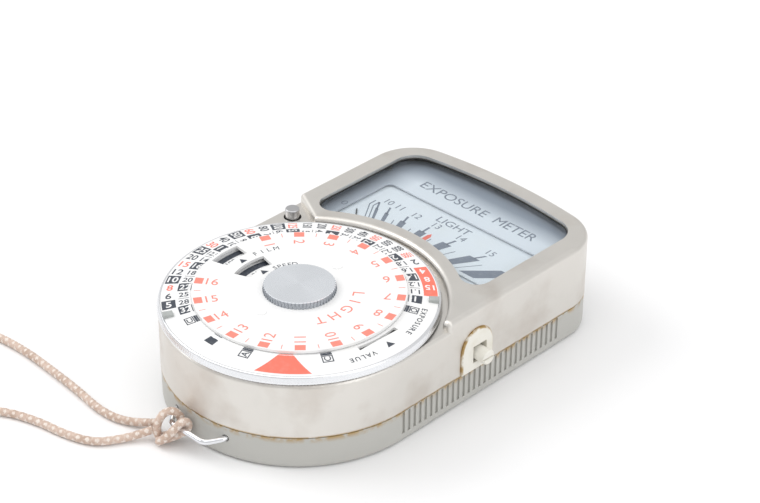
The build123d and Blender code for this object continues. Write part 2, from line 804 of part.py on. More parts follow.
with BuildPart() as button_guide:
    with Locations((-28.1, button[1], 11.2)):
        Box(5.0, 5.0, 1.5)
    with Locations((*button, 11.2)):
        Cylinder(0.96, 4, mode=Mode.SUBTRACT)
save(button_guide, "button_guide")

with BuildPart() as release_spring:
    with BuildLine() as spring_line:
        Helix(pitch=1.05, height=6.3, radius=1.55, center=(*button, 12.2))
    with BuildSketch(Plane(origin=spring_line.line @ 0, z_dir=spring_line.line % 0)):
        Circle(0.17)
    sweep(path=spring_line.line, is_frenet=True)
save(release_spring, "release_spring")

with BuildPart() as baffle_catch:
    with Locations((catch_x, 30.4, catch_z)):
        Cylinder(0.7, 17.2, rotation=(90, 0, 0))
    with Locations((-27.3, 24.6, 5.45)):
        Box(2.6, 2.2, 0.7)
    # arm that reaches down through the slot, and its finger beside the baffle's edge
    with Locations((-27.4, 36.2, 5.4)):
        Box(2.4, 1.8, 0.6)
    with Locations((-26.6, 36.2, 3.45)):
        Box(0.8, 1.8, 4.5)
    with Locations((-25.75, 36.2, 1.45)):
        Box(2.5, 1.8, 0.5)
save(baffle_catch, "baffle_catch")

# ======================================================================== photocell and baffle
with BuildPart() as cell_lens:
    with Locations((0, cell_y, 3.9)):
        Box(47.8, 27.8, 1.4)
    with Locations((0, cell_y, 3.0)):
        Box(cell_width - 0.4, cell_height - 0.4, 0.5)
    with Locations((0, cell_y, 6.15)):
        with GridLocations(5.4, 4.6, 8, 5):
            Sphere(4.2)
    with Locations((0, cell_y, 8.6)):
        Box(60, 40, 8.0, mode=Mode.SUBTRACT)
save(cell_lens, "cell_lens")

with BuildPart() as cell_contact_ring:
    with Locations((0, cell_y, 4.9)):
        Box(47.0, 27.0, 0.6)
        Box(42.0, 22.0, 2.0, mode=Mode.SUBTRACT)
save(cell_contact_ring, "cell_contact_ring")

with BuildPart() as photocell:
    with Locations((0, cell_y, 5.6)):
        Box(46.6, 26.6, 0.8)
save(photocell, "photocell")

with BuildPart() as cell_retainer:
    with Locations((0, cell_y, 6.4)):
        Box(47.8, 27.8, 0.8)
        Box(38.0, 18.0, 2.0, mode=Mode.SUBTRACT)
save(cell_retainer, "cell_retainer")

with BuildPart() as cell_contact_spring:
    with BuildSketch(Plane.XZ.offset(-cell_y)):
        with BuildLine():
            Polyline(
                (-12, 6.0), (-8, 6.0), (0, 7.4), (8, 6.0), (12, 6.0), (12, 6.25), (8.1, 6.25), (0, 7.7),
                (-8.1, 6.25), (-12, 6.25), close=True
            )
        make_face()
    extrude(amount=2, both=True)
save(cell_contact_spring, "cell_contact_spring")

with BuildPart() as lead_wires:
    for x in (-8.0, 5.0):
        with BuildLine() as wire_line:
            FilletPolyline((x, 36.5, 8.1), (x, 32.0, 8.1), (x, 30.0, 6.4), (x, 24.0, 6.4), radius=1.2)
        with BuildSketch(Plane(origin=wire_line.line @ 0, z_dir=wire_line.line % 0)):
            Circle(0.35)
        sweep(path=wire_line.line)
save(lead_wires, "lead_wires")

with BuildPart() as baffle:
    with BuildSketch(Plane.XY.offset(0.15)):
        with Locations((0, (baffle_low_y + baffle_high_y) / 2)):
            Rectangle(2 * baffle_half, baffle_high_y - baffle_low_y)
        with Locations((0, cell_y)):
            with HexLocations(1.5, 14, 8):
                Circle(0.85, mode=Mode.SUBTRACT)
    extrude(amount=baffle_sheet)
    with Locations((0, hinge_y, hinge_z)):
        Cylinder(0.8, 2 * baffle_half, rotation=(0, 90, 0))
    with Locations((0, hinge_y, hinge_z)):
        Cylinder(0.46, 60, rotation=(0, 90, 0), mode=Mode.SUBTRACT)
    # thumb lip at the free edge
    with Locations((0, baffle_high_y - 0.6, 0.95)):
        Box(12, 1.2, 0.5)
save(baffle, "baffle")

with BuildPart() as baffle_hinge_pin:
    with Locations((0, hinge_y, hinge_z)):
        Cylinder(0.4, 52.0, rotation=(0, 90, 0))
save(baffle_hinge_pin, "baffle_hinge_pin")

# ======================================================================== strap
with BuildPart() as strap_bail:
    with BuildLine() as bail_line:
        FilletPolyline(
            (-bail_x, -28.0, bail_z), (-bail_x, -31.0, bail_z), (-bail_reach_x, bail_reach_y, bail_reach_z),
            (bail_reach_x, bail_reach_y, bail_reach_z), (bail_x, -31.0, bail_z), (bail_x, -28.0, bail_z),
            radius=2.5
        )
    with BuildSketch(Plane(origin=bail_line.line @ 0, z_dir=bail_line.line % 0)):
        Circle(bail_radius)
    sweep(path=bail_line.line)
    with Locations((-bail_x, -28.2, bail_z), (bail_x, -28.2, bail_z)):
        Cylinder(1.1, 0.5, rotation=(90, 0, 0))
save(strap_bail, "strap_bail")

with BuildPart() as strap_knot:
    with BuildSketch(Plane.YZ.offset(-9.6)):
        with Locations((-35.0, 4.3)):
            Ellipse(2.9, 3.2)
    extrude(amount=6.0)
    fillet(strap_knot.edges(), radius=1.2)
save(strap_knot, "strap_knot")

upper_route = [
    (-9.2, -34.4, 2.6), (-13.6, -36.4, 1.3), (-18.6, -38.8, 1.0), (-24.8, -39.2, 1.0), (-33.0, -37.9, 1.0),
    (-43.5, -37.0, 1.0), (-54.5, -36.3, 1.0), (-66.0, -37.4, 1.0), (-76.2, -43.0, 1.0), (-80.6, -52.0, 1.0),
    (-81.0, -60.5, 1.0),
]
lower_route = [
    (-66.0, -77.4, 1.0), (-57.5, -76.2, 1.0), (-52.0, -70.5, 1.0), (-47.2, -62.5, 1.0), (-40.2, -55.0, 1.0),
    (-31.0, -51.6, 1.0), (-22.2, -50.4, 1.0), (-15.6, -47.9, 1.0), (-12.7, -43.4, 1.0), (-10.6, -39.9, 1.4),
    (-8.6, -36.9, 2.4),
]


def corner_radii(route):
    """Largest bend at each corner that its two runs leave room for."""
    radii = []
    for before, here, after in zip(route, route[1:], route[2:]):
        run_in = Vector(*here) - Vector(*before)
        run_out = Vector(*after) - Vector(*here)
        half_turn = math.radians(run_in.get_angle(run_out)) / 2
        radii.append(0.45 * min(run_in.length, run_out.length) / math.tan(half_turn))
    return radii


for label, route in (("strap_cord_upper", upper_route), ("strap_cord_lower", lower_route)):
    bends = corner_radii(route)
    print(label, "bend radii", [round(bend, 1) for bend in bends])
    with BuildPart() as strap_cord:
        with BuildLine() as cord_line:
            FilletPolyline(*route, radius=bends)
        with BuildSketch(Plane(origin=cord_line.line @ 0, z_dir=cord_line.line % 0)):
            Circle(cord_radius)
        sweep(path=cord_line.line)
    length = sum(edge.length for edge in cord_line.edges())
    print(label, "length", round(length, 1), "volume", round(strap_cord.part.volume, 1),
          "section x length", round(math.pi * cord_radius**2 * length, 1))
    save(strap_cord, label)

with BuildPart() as strap_coil:
    with BuildSketch():
        with Locations(coil_centre):
            Circle(coil_outer)
            Circle(coil_inner, mode=Mode.SUBTRACT)
    extrude(amount=3.85)
    fillet(strap_coil.edges(), radius=0.9)
save(strap_coil, "strap_coil")
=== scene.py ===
"""Looks of a selenium light meter: finishes, printed scales, braided neck cord, camera and light.

Metres, in the CAD frame: +Z up out of the dial, +Y from the dial to the meter window.
Places on the object are written in millimetres and scaled by MM.
"""
import json
import math

import bmesh
import bpy
from mathutils import Matrix, Vector


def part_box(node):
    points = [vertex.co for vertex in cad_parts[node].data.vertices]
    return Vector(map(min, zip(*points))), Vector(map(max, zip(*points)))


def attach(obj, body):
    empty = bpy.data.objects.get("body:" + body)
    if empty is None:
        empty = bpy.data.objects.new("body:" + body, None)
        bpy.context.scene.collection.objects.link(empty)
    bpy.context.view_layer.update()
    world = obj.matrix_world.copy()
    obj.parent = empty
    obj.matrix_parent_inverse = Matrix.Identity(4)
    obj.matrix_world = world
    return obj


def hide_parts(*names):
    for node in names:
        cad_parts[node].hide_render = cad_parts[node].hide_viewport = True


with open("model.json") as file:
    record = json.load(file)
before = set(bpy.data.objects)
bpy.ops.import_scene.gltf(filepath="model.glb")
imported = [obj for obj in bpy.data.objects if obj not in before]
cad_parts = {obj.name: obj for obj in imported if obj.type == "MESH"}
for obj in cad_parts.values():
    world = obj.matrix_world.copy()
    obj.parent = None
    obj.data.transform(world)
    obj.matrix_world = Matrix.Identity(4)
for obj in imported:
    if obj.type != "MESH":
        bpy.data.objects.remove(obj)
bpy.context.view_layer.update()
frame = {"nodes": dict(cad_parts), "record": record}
nodes = frame["nodes"]

MM = 0.001
TAU = 2 * math.pi

# ---- colours, as light reflected ----
NICKEL = (0.74, 0.715, 0.675)
NICKEL_BROWN = (0.47, 0.40, 0.34)
NICKEL_SMUDGE = (0.68, 0.66, 0.62)
BASE_GREY = (0.50, 0.495, 0.465)
BASE_WORN = (0.50, 0.49, 0.46)
CREAM = (0.84, 0.82, 0.75)
CREAM_YELLOWED = (0.72, 0.66, 0.52)
OCHRE = (0.42, 0.27, 0.09)
DIAL_PAINT = (0.9, 0.9, 0.9)
SCALE_PAINT = (0.84, 0.86, 0.89)
MASK_PAINT = (0.80, 0.82, 0.86)
# painted shade on the window's fixed plate, toward its far and left edges
MASK_FAR_SHADE = (0.24, 0.27, 0.33)
MASK_LEFT_SHADE = (0.25, 0.28, 0.34)
BLACK_PAINT = (0.03, 0.03, 0.032)
BLACK_RUBBER = (0.035, 0.035, 0.035)
LUG_GREY = (0.40, 0.42, 0.41)
RIM_METAL = (0.84, 0.85, 0.87)
KNOB_METAL = (0.88, 0.91, 0.95)
# painted shade on the knob's knurled side
KNURL_PAINTED_SHADE = (0.26, 0.28, 0.31)
SPUN_DULL = (0.76, 0.79, 0.83)
STEEL = (0.55, 0.55, 0.56)
BRASS = (0.74, 0.58, 0.30)
SOFT_IRON = (0.36, 0.36, 0.38)
COPPER = (0.70, 0.33, 0.18)
CHROME = (0.83, 0.84, 0.87)
GLASS_TINT = (0.95, 0.97, 0.98)
LENS_TINT = (0.80, 0.83, 0.82)
SELENIUM_DARK = (0.06, 0.055, 0.075)
SELENIUM_PALE = (0.13, 0.12, 0.15)
PRINT_BLACK = (0.045, 0.055, 0.075)
PRINT_BLUE = (0.22, 0.24, 0.29)
PRINT_RED = (0.95, 0.19, 0.13)
PRINT_ROSE = (0.95, 0.26, 0.20)
PRINT_WHITE = (0.88, 0.88, 0.88)
CORD_LIGHT = (0.66, 0.50, 0.41)
CORD_DARK = (0.42, 0.28, 0.20)
CORD_BRIGHT = (0.93, 0.87, 0.80)
CORD_FLECK = (0.84, 0.75, 0.68)
CORD_FLECK_DIRT = (0.66, 0.53, 0.45)
FLOOR_WHITE = (0.93, 0.93, 0.935)


def polar(radius, angle):
    """Point in the plan at a radius and an angle in degrees about the dial axis."""
    return Vector((radius * math.cos(math.radians(angle)), radius * math.sin(math.radians(angle))))


# ======================================================================== camera
CAMERA_AZIMUTH = math.radians(43.88)
CAMERA_ELEVATION = math.radians(32.473)
CAMERA_ROLL = math.radians(0.384)
CAMERA_DISTANCE = 589.46 * MM
CAMERA_TARGET = Vector((-26.365, 53.018, 0)) * MM
CAMERA_LENS = 112.84
CAMERA_CLIP = (0.01, 20)


def add_camera():
    """Camera at the viewing angle, with its small roll."""
    back = Vector((
        math.sin(CAMERA_AZIMUTH) * math.cos(CAMERA_ELEVATION),
        -math.cos(CAMERA_AZIMUTH) * math.cos(CAMERA_ELEVATION),
        math.sin(CAMERA_ELEVATION),
    ))
    level = Vector((math.cos(CAMERA_AZIMUTH), math.sin(CAMERA_AZIMUTH), 0))
    upright = back.cross(level)
    right = level * math.cos(CAMERA_ROLL) + upright * math.sin(CAMERA_ROLL)
    up = upright * math.cos(CAMERA_ROLL) - level * math.sin(CAMERA_ROLL)
    data = bpy.data.cameras.new("camera")
    data.lens = CAMERA_LENS
    data.clip_start, data.clip_end = CAMERA_CLIP
    camera = bpy.data.objects.new("camera", data)
    bpy.context.scene.collection.objects.link(camera)
    turn = Matrix((right, up, back)).transposed().to_4x4()
    camera.matrix_world = Matrix.Translation(CAMERA_TARGET + back * CAMERA_DISTANCE) @ turn
    bpy.context.scene.camera = camera


add_camera()


# ======================================================================== finishes
class Finish:
    """A procedural material on one Principled shader, built up with masks in the object's own space."""

    def __init__(self, name, color, metallic=0.0, roughness=0.5, **sockets):
        self.material = bpy.data.materials.new(name)
        self.material.use_nodes = True
        self.tree = self.material.node_tree
        self.shader = self.tree.nodes["Principled BSDF"]
        self.shader.inputs["Base Color"].default_value = (*color, 1)
        self.shader.inputs["Metallic"].default_value = metallic
        self.shader.inputs["Roughness"].default_value = roughness
        for socket, value in sockets.items():
            self.shader.inputs[socket.replace("_", " ")].default_value = value
        self.color = color
        self.color_out = None
        self.normal_out = None
        self.place = self.tree.nodes.new("ShaderNodeTexCoord").outputs["Object"]

    def node(self, kind, **inputs):
        """A new node with its inputs set or linked."""
        made = self.tree.nodes.new(kind)
        for socket, value in inputs.items():
            self.plug(made.inputs[socket.replace("_", " ")], value)
        return made

    def plug(self, socket, value):
        """Links an output to the socket, or sets its value."""
        if isinstance(value, bpy.types.NodeSocket):
            self.tree.links.new(value, socket)
        else:
            socket.default_value = value

    def math(self, operation, first, second=0.0):
        made = self.tree.nodes.new("ShaderNodeMath")
        made.operation = operation
        self.plug(made.inputs[0], first)
        self.plug(made.inputs[1], second)
        return made.outputs["Value"]

    def times(self, first, second):
        return self.math("MULTIPLY", first, second)

    def axis(self, name):
        """The place's X, Y or Z."""
        return self.node("ShaderNodeSeparateXYZ", Vector=self.place).outputs[name]

    def noise(self, scale, detail=3.0, stretch=(1, 1, 1)):
        mapping = self.node("ShaderNodeMapping", Vector=self.place, Scale=stretch)
        made = self.node(
            "ShaderNodeTexNoise", Vector=mapping.outputs["Vector"], Scale=scale, Detail=detail
        )
        return made.outputs["Fac"]

    def spin(self, scale, detail=2.0):
        """Noise in rings about the dial axis, as turning or spinning leaves it."""
        flat = self.node("ShaderNodeVectorMath")
        flat.operation = "MULTIPLY"
        self.plug(flat.inputs[0], self.place)
        flat.inputs[1].default_value = (1, 1, 0)
        radius = self.node("ShaderNodeVectorMath")
        radius.operation = "LENGTH"
        self.plug(radius.inputs[0], flat.outputs["Vector"])
        made = self.tree.nodes.new("ShaderNodeTexNoise")
        made.noise_dimensions = "1D"
        self.plug(made.inputs["W"], radius.outputs["Value"])
        made.inputs["Scale"].default_value = scale
        made.inputs["Detail"].default_value = detail
        return made.outputs["Fac"]

    def ramp(self, value, start, end):
        """0 at start and 1 at end."""
        made = self.tree.nodes.new("ShaderNodeMapRange")
        self.plug(made.inputs["Value"], value)
        made.inputs["From Min"].default_value = start
        made.inputs["From Max"].default_value = end
        return made.outputs["Result"]

    def plate_distance(self):
        """Distance from the middle of the pointer-lock plate, whose outline is an arch on two straight sides."""
        centre_y, centre_z = PLATE_CENTRE
        above = self.math("MAXIMUM", self.math("SUBTRACT", self.axis("Z"), centre_z * MM), 0.0)
        aside = self.math("SUBTRACT", self.axis("Y"), centre_y * MM)
        return self.math("SQRT", self.math("ADD", self.times(above, above), self.times(aside, aside)))

    def plate_line(self):
        """1 along the edge of the pointer-lock plate, on the right-hand wall only."""
        off = self.math("ABSOLUTE", self.math("SUBTRACT", self.plate_distance(), PLATE_RADIUS * MM))
        edge = self.ramp(off, PLATE_LINE[0] * MM, PLATE_LINE[1] * MM)
        return self.times(edge, self.ramp(self.axis("X"), RIGHT_WALL[0] * MM, RIGHT_WALL[1] * MM))

    def tint(self, mask, color):
        """Lays a colour over the base wherever the mask is 1."""
        made = self.tree.nodes.new("ShaderNodeMix")
        made.data_type = "RGBA"
        self.plug(made.inputs["Factor"], mask)
        if self.color_out is None:
            made.inputs[6].default_value = (*self.color, 1)
        else:
            self.plug(made.inputs[6], self.color_out)
        made.inputs[7].default_value = (*color, 1)
        self.color_out = made.outputs[2]
        self.plug(self.shader.inputs["Base Color"], self.color_out)
        return self

    def mottle(self, color, scale, detail, start, end, amount):
        """Lays a share of a colour over the patches where the noise is high."""
        return self.tint(self.times(self.ramp(self.noise(scale, detail), start, end), amount), color)

    def grime(self, mask, scale, start, end):
        """Brown dirt, broken up by noise, wherever the mask is 1."""
        return self.tint(self.times(mask, self.ramp(self.noise(scale, 4), start, end)), OCHRE)

    def rough(self, mask, low, high):
        """Roughness that runs from low to high with the mask."""
        made = self.tree.nodes.new("ShaderNodeMapRange")
        self.plug(made.inputs["Value"], mask)
        made.inputs["To Min"].default_value = low
        made.inputs["To Max"].default_value = high
        self.plug(self.shader.inputs["Roughness"], made.outputs["Result"])
        return self

    def bump(self, value, depth, strength):
        """Adds fine relief to what is already there."""
        made = self.node("ShaderNodeBump", Height=value, Distance=depth, Strength=strength)
        if self.normal_out is not None:
            self.plug(made.inputs["Normal"], self.normal_out)
        self.normal_out = made.outputs["Normal"]
        self.plug(self.shader.inputs["Normal"], self.normal_out)
        return self


SEAM_Z = 8.2 * MM
# height below which the knob's side gets painted shade
KNOB_EDGE_Z = 27.3 * MM
PLATE_CENTRE = (24.0, 13.9)  # Y and Z
PLATE_RADIUS = 5.0
PLATE_LINE = (0.34, 0.10)  # how far the grime reaches from the plate's edge: its start and its full strength
RIGHT_WALL = (30.9, 31.1)  # X where the right-hand wall's grime starts and is full
# where the painted shade on the window's fixed plate starts and where it is full
SHADE_FAR_Y = (57.5 * MM, 63.5 * MM)
SHADE_LEFT_X = (-18 * MM, -25.5 * MM)


def cover_nickel():
    """Satin plating, browned in patches and smudged, with grime at the seam and round the pointer-lock plate."""
    made = Finish("cover_nickel", NICKEL, metallic=1.0, roughness=0.4)
    made.mottle(NICKEL_BROWN, scale=75, detail=5, start=0.50, end=0.72, amount=0.42)
    made.mottle(NICKEL_SMUDGE, scale=210, detail=4, start=0.52, end=0.75, amount=0.28)
    near_seam = made.ramp(made.axis("Z"), SEAM_Z + 0.55 * MM, SEAM_Z + 0.1 * MM)
    made.grime(near_seam, scale=420, start=0.30, end=0.48)
    made.grime(made.plate_line(), scale=420, start=0.30, end=0.48)
    made.rough(made.noise(160, 4), 0.30, 0.52)
    made.bump(made.noise(900, 3, (1, 1, 0.12)), 0.03 * MM, 0.30)
    made.bump(made.noise(120, 3), 0.10 * MM, 0.16)
    return made.material


def base_plastic():
    """Fine-grained moulding, slightly worn, with grime just under the seam."""
    made = Finish("base_plastic", BASE_GREY, roughness=0.42)
    made.mottle(BASE_WORN, scale=130, detail=4, start=0.45, end=0.75, amount=0.35)
    near_seam = made.ramp(made.axis("Z"), SEAM_Z - 1.5 * MM, SEAM_Z - 0.1 * MM)
    made.grime(near_seam, scale=480, start=0.42, end=0.58)
    made.rough(made.noise(300, 3), 0.36, 0.52)
    made.bump(made.noise(2600, 2), 0.02 * MM, 0.35)
    return made.material


def cream_plastic():
    """Pale moulding of the pointer lock, yellowed, with grime along the plate's edge."""
    made = Finish("cream_plastic", CREAM, roughness=0.34)
    made.mottle(CREAM_YELLOWED, scale=260, detail=4, start=0.5, end=0.75, amount=0.35)
    made.grime(made.plate_line(), scale=420, start=0.34, end=0.52)
    made.rough(made.noise(500, 3), 0.26, 0.42)
    made.bump(made.noise(1500, 2), 0.02 * MM, 0.25)
    return made.material


def enamel(name, color, roughness=0.32):
    """Smooth paint on sheet metal, faintly uneven and yellowed in places."""
    made = Finish(name, color, roughness=roughness)
    aged = tuple(channel * scale for channel, scale in zip(color, (0.96, 0.94, 0.89)))
    made.mottle(aged, scale=140, detail=4, start=0.5, end=0.8, amount=0.4)
    made.rough(made.noise(400, 2), roughness - 0.05, roughness + 0.08)
    made.bump(made.noise(1800, 2), 0.01 * MM, 0.25)
    return made.material


def mask_enamel():
    """The window's fixed plate: white paint, with painted shade that darkens it to blue-grey toward its far and
    left edges, where the window's walls shade it.
    """
    made = Finish("mask_white", MASK_PAINT, roughness=0.32)
    # painted shade: blue-grey darkening toward the far and the left edge of the window
    made.tint(made.times(made.ramp(made.axis("Y"), *SHADE_FAR_Y), 0.85), MASK_FAR_SHADE)
    made.tint(made.times(made.ramp(made.axis("X"), *SHADE_LEFT_X), 0.75), MASK_LEFT_SHADE)
    made.rough(made.noise(400, 2), 0.27, 0.40)
    made.bump(made.noise(1800, 2), 0.01 * MM, 0.25)
    return made.material


def metal(name, color, roughness, scale=900, stretch=(1, 1, 1), depth=0.02, strength=0.3):
    """Machined or plated metal with fine tool marks and uneven shine."""
    made = Finish(name, color, metallic=1.0, roughness=roughness)
    dull = tuple(channel * 0.78 for channel in color)
    made.mottle(dull, scale=240, detail=4, start=0.5, end=0.8, amount=0.5)
    made.rough(made.noise(350, 3), max(0.03, roughness - 0.08), roughness + 0.12)
    made.bump(made.noise(scale, 3, stretch), depth * MM, strength)
    return made.material


def spun_metal(name, color, roughness):
    """Bright metal turned about the dial axis."""
    made = Finish(name, color, metallic=1.0, roughness=roughness, Anisotropic=0.7)
    rings = made.spin(scale=5200)
    made.rough(rings, roughness - 0.07, roughness + 0.12)
    made.bump(rings, 0.012 * MM, 0.3)
    turning = made.tree.nodes.new("ShaderNodeTangent")
    turning.direction_type = "RADIAL"
    turning.axis = "Z"
    made.plug(made.shader.inputs["Tangent"], turning.outputs["Tangent"])
    made.mottle(SPUN_DULL, scale=160, detail=3, start=0.5, end=0.8, amount=0.3)
    return made


def knob_metal():
    """Turned knob: bright top, and painted shade that darkens its knurled side all round."""
    made = spun_metal("knob_metal", KNOB_METAL, 0.26)
    below_edge = made.ramp(made.axis("Z"), KNOB_EDGE_Z, KNOB_EDGE_Z - 0.1 * MM)
    # painted shade: the whole knurled side below the top edge is darkened
    made.tint(made.times(below_edge, 0.75), KNURL_PAINTED_SHADE)
    return made.material


def plain(name, color, roughness):
    """Rubber, paint or moulding with a fine grain."""
    made = Finish(name, color, roughness=roughness)
    lighter = tuple(min(1, channel * 1.35 + 0.02) for channel in color)
    made.mottle(lighter, scale=300, detail=4, start=0.5, end=0.8, amount=0.5)
    made.bump(made.noise(1200, 3), 0.03 * MM, 0.4)
    return made.material


GLASS_ROUGHNESS = 0.03
GLASS_SHINE = 0.045


def window_pane():
    """Clear flat glass: straight through, with a faint even reflection."""
    material = bpy.data.materials.new("clear_glass")
    material.use_nodes = True
    tree = material.node_tree
    tree.nodes.clear()
    out = tree.nodes.new("ShaderNodeOutputMaterial")
    through = tree.nodes.new("ShaderNodeBsdfTransparent")
    through.inputs["Color"].default_value = (*GLASS_TINT, 1)
    shine = tree.nodes.new("ShaderNodeBsdfGlossy")
    shine.inputs["Roughness"].default_value = GLASS_ROUGHNESS
    blend = tree.nodes.new("ShaderNodeMixShader")
    blend.inputs["Fac"].default_value = GLASS_SHINE
    tree.links.new(through.outputs["BSDF"], blend.inputs[1])
    tree.links.new(shine.outputs["BSDF"], blend.inputs[2])
    tree.links.new(blend.outputs["Shader"], out.inputs["Surface"])
    return material


def lens_plastic():
    """Clear moulded plate over the photocell."""
    made = Finish("clear_plastic", LENS_TINT, roughness=0.08, IOR=1.49, Transmission_Weight=0.85)
    made.bump(made.noise(700, 2), 0.02 * MM, 0.2)
    return made.material


def selenium():
    """Dark purplish-grey coating of the photocell, faintly mottled."""
    made = Finish("cell_dark", SELENIUM_DARK, metallic=0.6, roughness=0.35)
    made.tint(made.ramp(made.noise(500, 5), 0.45, 0.7), SELENIUM_PALE)
    made.rough(made.noise(250, 3), 0.28, 0.5)
    return made.material


def braid():
    """Slightly glossy synthetic yarn, darker and redder where it has picked up dirt."""
    made = Finish("cord_braid", CORD_LIGHT, roughness=0.62, Sheen_Weight=0.25, Sheen_Roughness=0.4)
    made.mottle(CORD_DARK, scale=260, detail=5, start=0.42, end=0.62, amount=0.55)
    made.mottle(CORD_BRIGHT, scale=1500, detail=3, start=0.5, end=0.7, amount=0.35)
    made.bump(made.noise(5200, 3), 0.05 * MM, 0.6)
    return made.material


def yarn_fleck():
    """The pale yarn that runs through the plait."""
    made = Finish("cord_fleck", CORD_FLECK, roughness=0.6, Sheen_Weight=0.2)
    made.mottle(CORD_FLECK_DIRT, scale=700, detail=4, start=0.45, end=0.7, amount=0.5)
    made.bump(made.noise(5200, 3), 0.05 * MM, 0.6)
    return made.material


def printed(name, color):
    """Ink, slightly paler where it is worn."""
    made = Finish(name, color, roughness=0.45)
    paler = tuple(channel + (1 - channel) * 0.10 for channel in color)
    made.mottle(paler, scale=700, detail=4, start=0.5, end=0.75, amount=0.5)
    made.bump(made.noise(2500, 2), 0.01 * MM, 0.2)
    return made.material


finishes = {
    "cover_nickel": cover_nickel(),
    "base_plastic": base_plastic(),
    "cream_plastic": cream_plastic(),
    "clear_glass": window_pane(),
    "black_rubber": plain("black_rubber", BLACK_RUBBER, 0.7),
    "mask_white": mask_enamel(),
    "scale_white": enamel("scale_white", SCALE_PAINT),
    "dial_white": enamel("dial_white", DIAL_PAINT),
    "dial_rim": spun_metal("dial_rim", RIM_METAL, 0.24).material,
    "knob_metal": knob_metal(),
    "steel": metal("steel", STEEL, 0.32),
    "brass": metal("brass", BRASS, 0.3),
    "soft_iron": metal("soft_iron", SOFT_IRON, 0.5, scale=1600, depth=0.04, strength=0.5),
    "copper_wire": metal(
        "copper_wire", COPPER, 0.34, scale=2600, stretch=(0.2, 0.2, 1), depth=0.05, strength=0.6
    ),
    "black_paint": plain("black_paint", BLACK_PAINT, 0.5),
    "cell_dark": selenium(),
    "clear_plastic": lens_plastic(),
    "bail_chrome": metal("bail_chrome", CHROME, 0.1, scale=500, depth=0.01, strength=0.2),
    "cord_braid": braid(),
}
lug_grey = plain("lug_grey", LUG_GREY, 0.25)
cord_fleck = yarn_fleck()
ink_black = printed("ink_black", PRINT_BLACK)
ink_blue = printed("ink_blue", PRINT_BLUE)
ink_red = printed("ink_red", PRINT_RED)
ink_rose = printed("ink_rose", PRINT_ROSE)
ink_white = printed("ink_white", PRINT_WHITE)


def dress_cad_nodes():
    """Gives every CAD node the finish of its material slot."""
    for row in frame["record"]["subparts"]:
        node = nodes[row["node"]]
        node.data.materials.clear()
        node.data.materials.append(finishes[row["material_slot"]])
    nodes["dial_lugs"].data.materials[0] = lug_grey


dress_cad_nodes()


def add_piece(name, mesh, material, body):
    """Puts a finished mesh in the scene, riding on a body."""
    piece = bpy.data.objects.new(name, mesh)
    bpy.context.scene.collection.objects.link(piece)
    mesh.materials.append(material)
    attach(piece, body)
    return piece


# ======================================================================== neck cord
CORD_DIAMETER = 1.9
COIL_CENTRE = (-66.0, -62.5)
COIL_OUTER = 14.65
COIL_PITCH = 1.91
COIL_TURNS = 5
COIL_SHORT = 0.87  # turns that the top layer lacks, where it leaves for the knot
COIL_START = 187.0
COIL_POINTS = 14  # in each turn
CLIMB_POINTS = 5  # over which the cord climbs from one layer to the next
LAYER_LOW = 0.97
LAYER_HIGH = 2.86
SPLINE_STEPS = 10

upper_route = [
    (-9.2, -34.4, 2.6), (-13.6, -36.4, 1.3), (-18.6, -38.8, 1.0), (-24.8, -39.2, 1.0), (-33.0, -37.9, 1.0),
    (-43.5, -37.0, 1.0), (-54.5, -36.3, 1.0), (-66.0, -37.4, 1.0), (-76.2, -43.0, 1.0), (-80.6, -52.0, 1.0),
    (-81.0, -60.5, 1.0),
]
lower_route = [
    (-60.8, -77.9, 2.2), (-55.8, -75.6, 1.0), (-51.2, -70.5, 1.0), (-47.2, -62.5, 1.0), (-40.2, -55.0, 1.0),
    (-31.0, -51.6, 1.0), (-22.2, -50.4, 1.0), (-15.6, -47.9, 1.0), (-12.7, -43.4, 1.0), (-10.6, -39.9, 1.4),
    (-8.6, -36.9, 2.4),
]


def coil_route():
    """Bottom layer winding inward, then the top layer winding outward, all the same way round."""
    points = []
    for step in range(COIL_TURNS * COIL_POINTS + 1):
        turn = step / COIL_POINTS
        points.append((COIL_START + 360 * turn, COIL_OUTER - COIL_PITCH * turn, LAYER_LOW))
    last_angle, last_radius, _ = points[-1]
    for step in range(1, int((COIL_TURNS - COIL_SHORT) * COIL_POINTS) + 1):
        turn = step / COIL_POINTS
        height = LAYER_LOW + (LAYER_HIGH - LAYER_LOW) * min(1, step / CLIMB_POINTS)
        points.append((last_angle + 360 * turn, last_radius + COIL_PITCH * turn, height))
    return [
        (COIL_CENTRE[0] + radius * math.cos(math.radians(angle)),
         COIL_CENTRE[1] + radius * math.sin(math.radians(angle)), height)
        for angle, radius, height in points
    ]


def spline_points(name, route):
    """Points along a smooth NURBS spline whose control points are the route, in millimetres."""
    curve = bpy.data.curves.new(name, "CURVE")
    curve.dimensions = "3D"
    curve.resolution_u = SPLINE_STEPS
    spline = curve.splines.new("NURBS")
    spline.points.add(len(route) - 1)
    for point, place in zip(spline.points, route):
        point.co = (*[value * MM for value in place], 1)
    spline.order_u = 3
    spline.use_endpoint_u = True
    guide = bpy.data.objects.new(name, curve)
    mesh = bpy.data.meshes.new_from_object(guide)
    points = [vertex.co.copy() for vertex in mesh.vertices]
    bpy.data.objects.remove(guide)
    bpy.data.meshes.remove(mesh)
    bpy.data.curves.remove(curve)
    return points


def evenly(points, step):
    """The same line with points a step apart."""
    along = [0.0]
    for before, here in zip(points, points[1:]):
        along.append(along[-1] + (here - before).length)
    count = max(2, round(along[-1] / step))
    result = []
    index = 0
    for number in range(count + 1):
        target = along[-1] * number / count
        while index < len(points) - 2 and along[index + 1] < target:
            index += 1
        share = (target - along[index]) / max(along[index + 1] - along[index], 1e-9)
        result.append(points[index].lerp(points[index + 1], min(1, max(0, share))))
    return result, along[-1]


BRAID_STRANDS = 5
BRAID_PITCH = 2.2 * MM
BRAID_AROUND = 20  # points round the tube
BRAID_STEP = 0.24 * MM  # between rings of points
BRAID_RELIEF = 0.20  # of the radius
BRAID_FULLNESS = 0.7


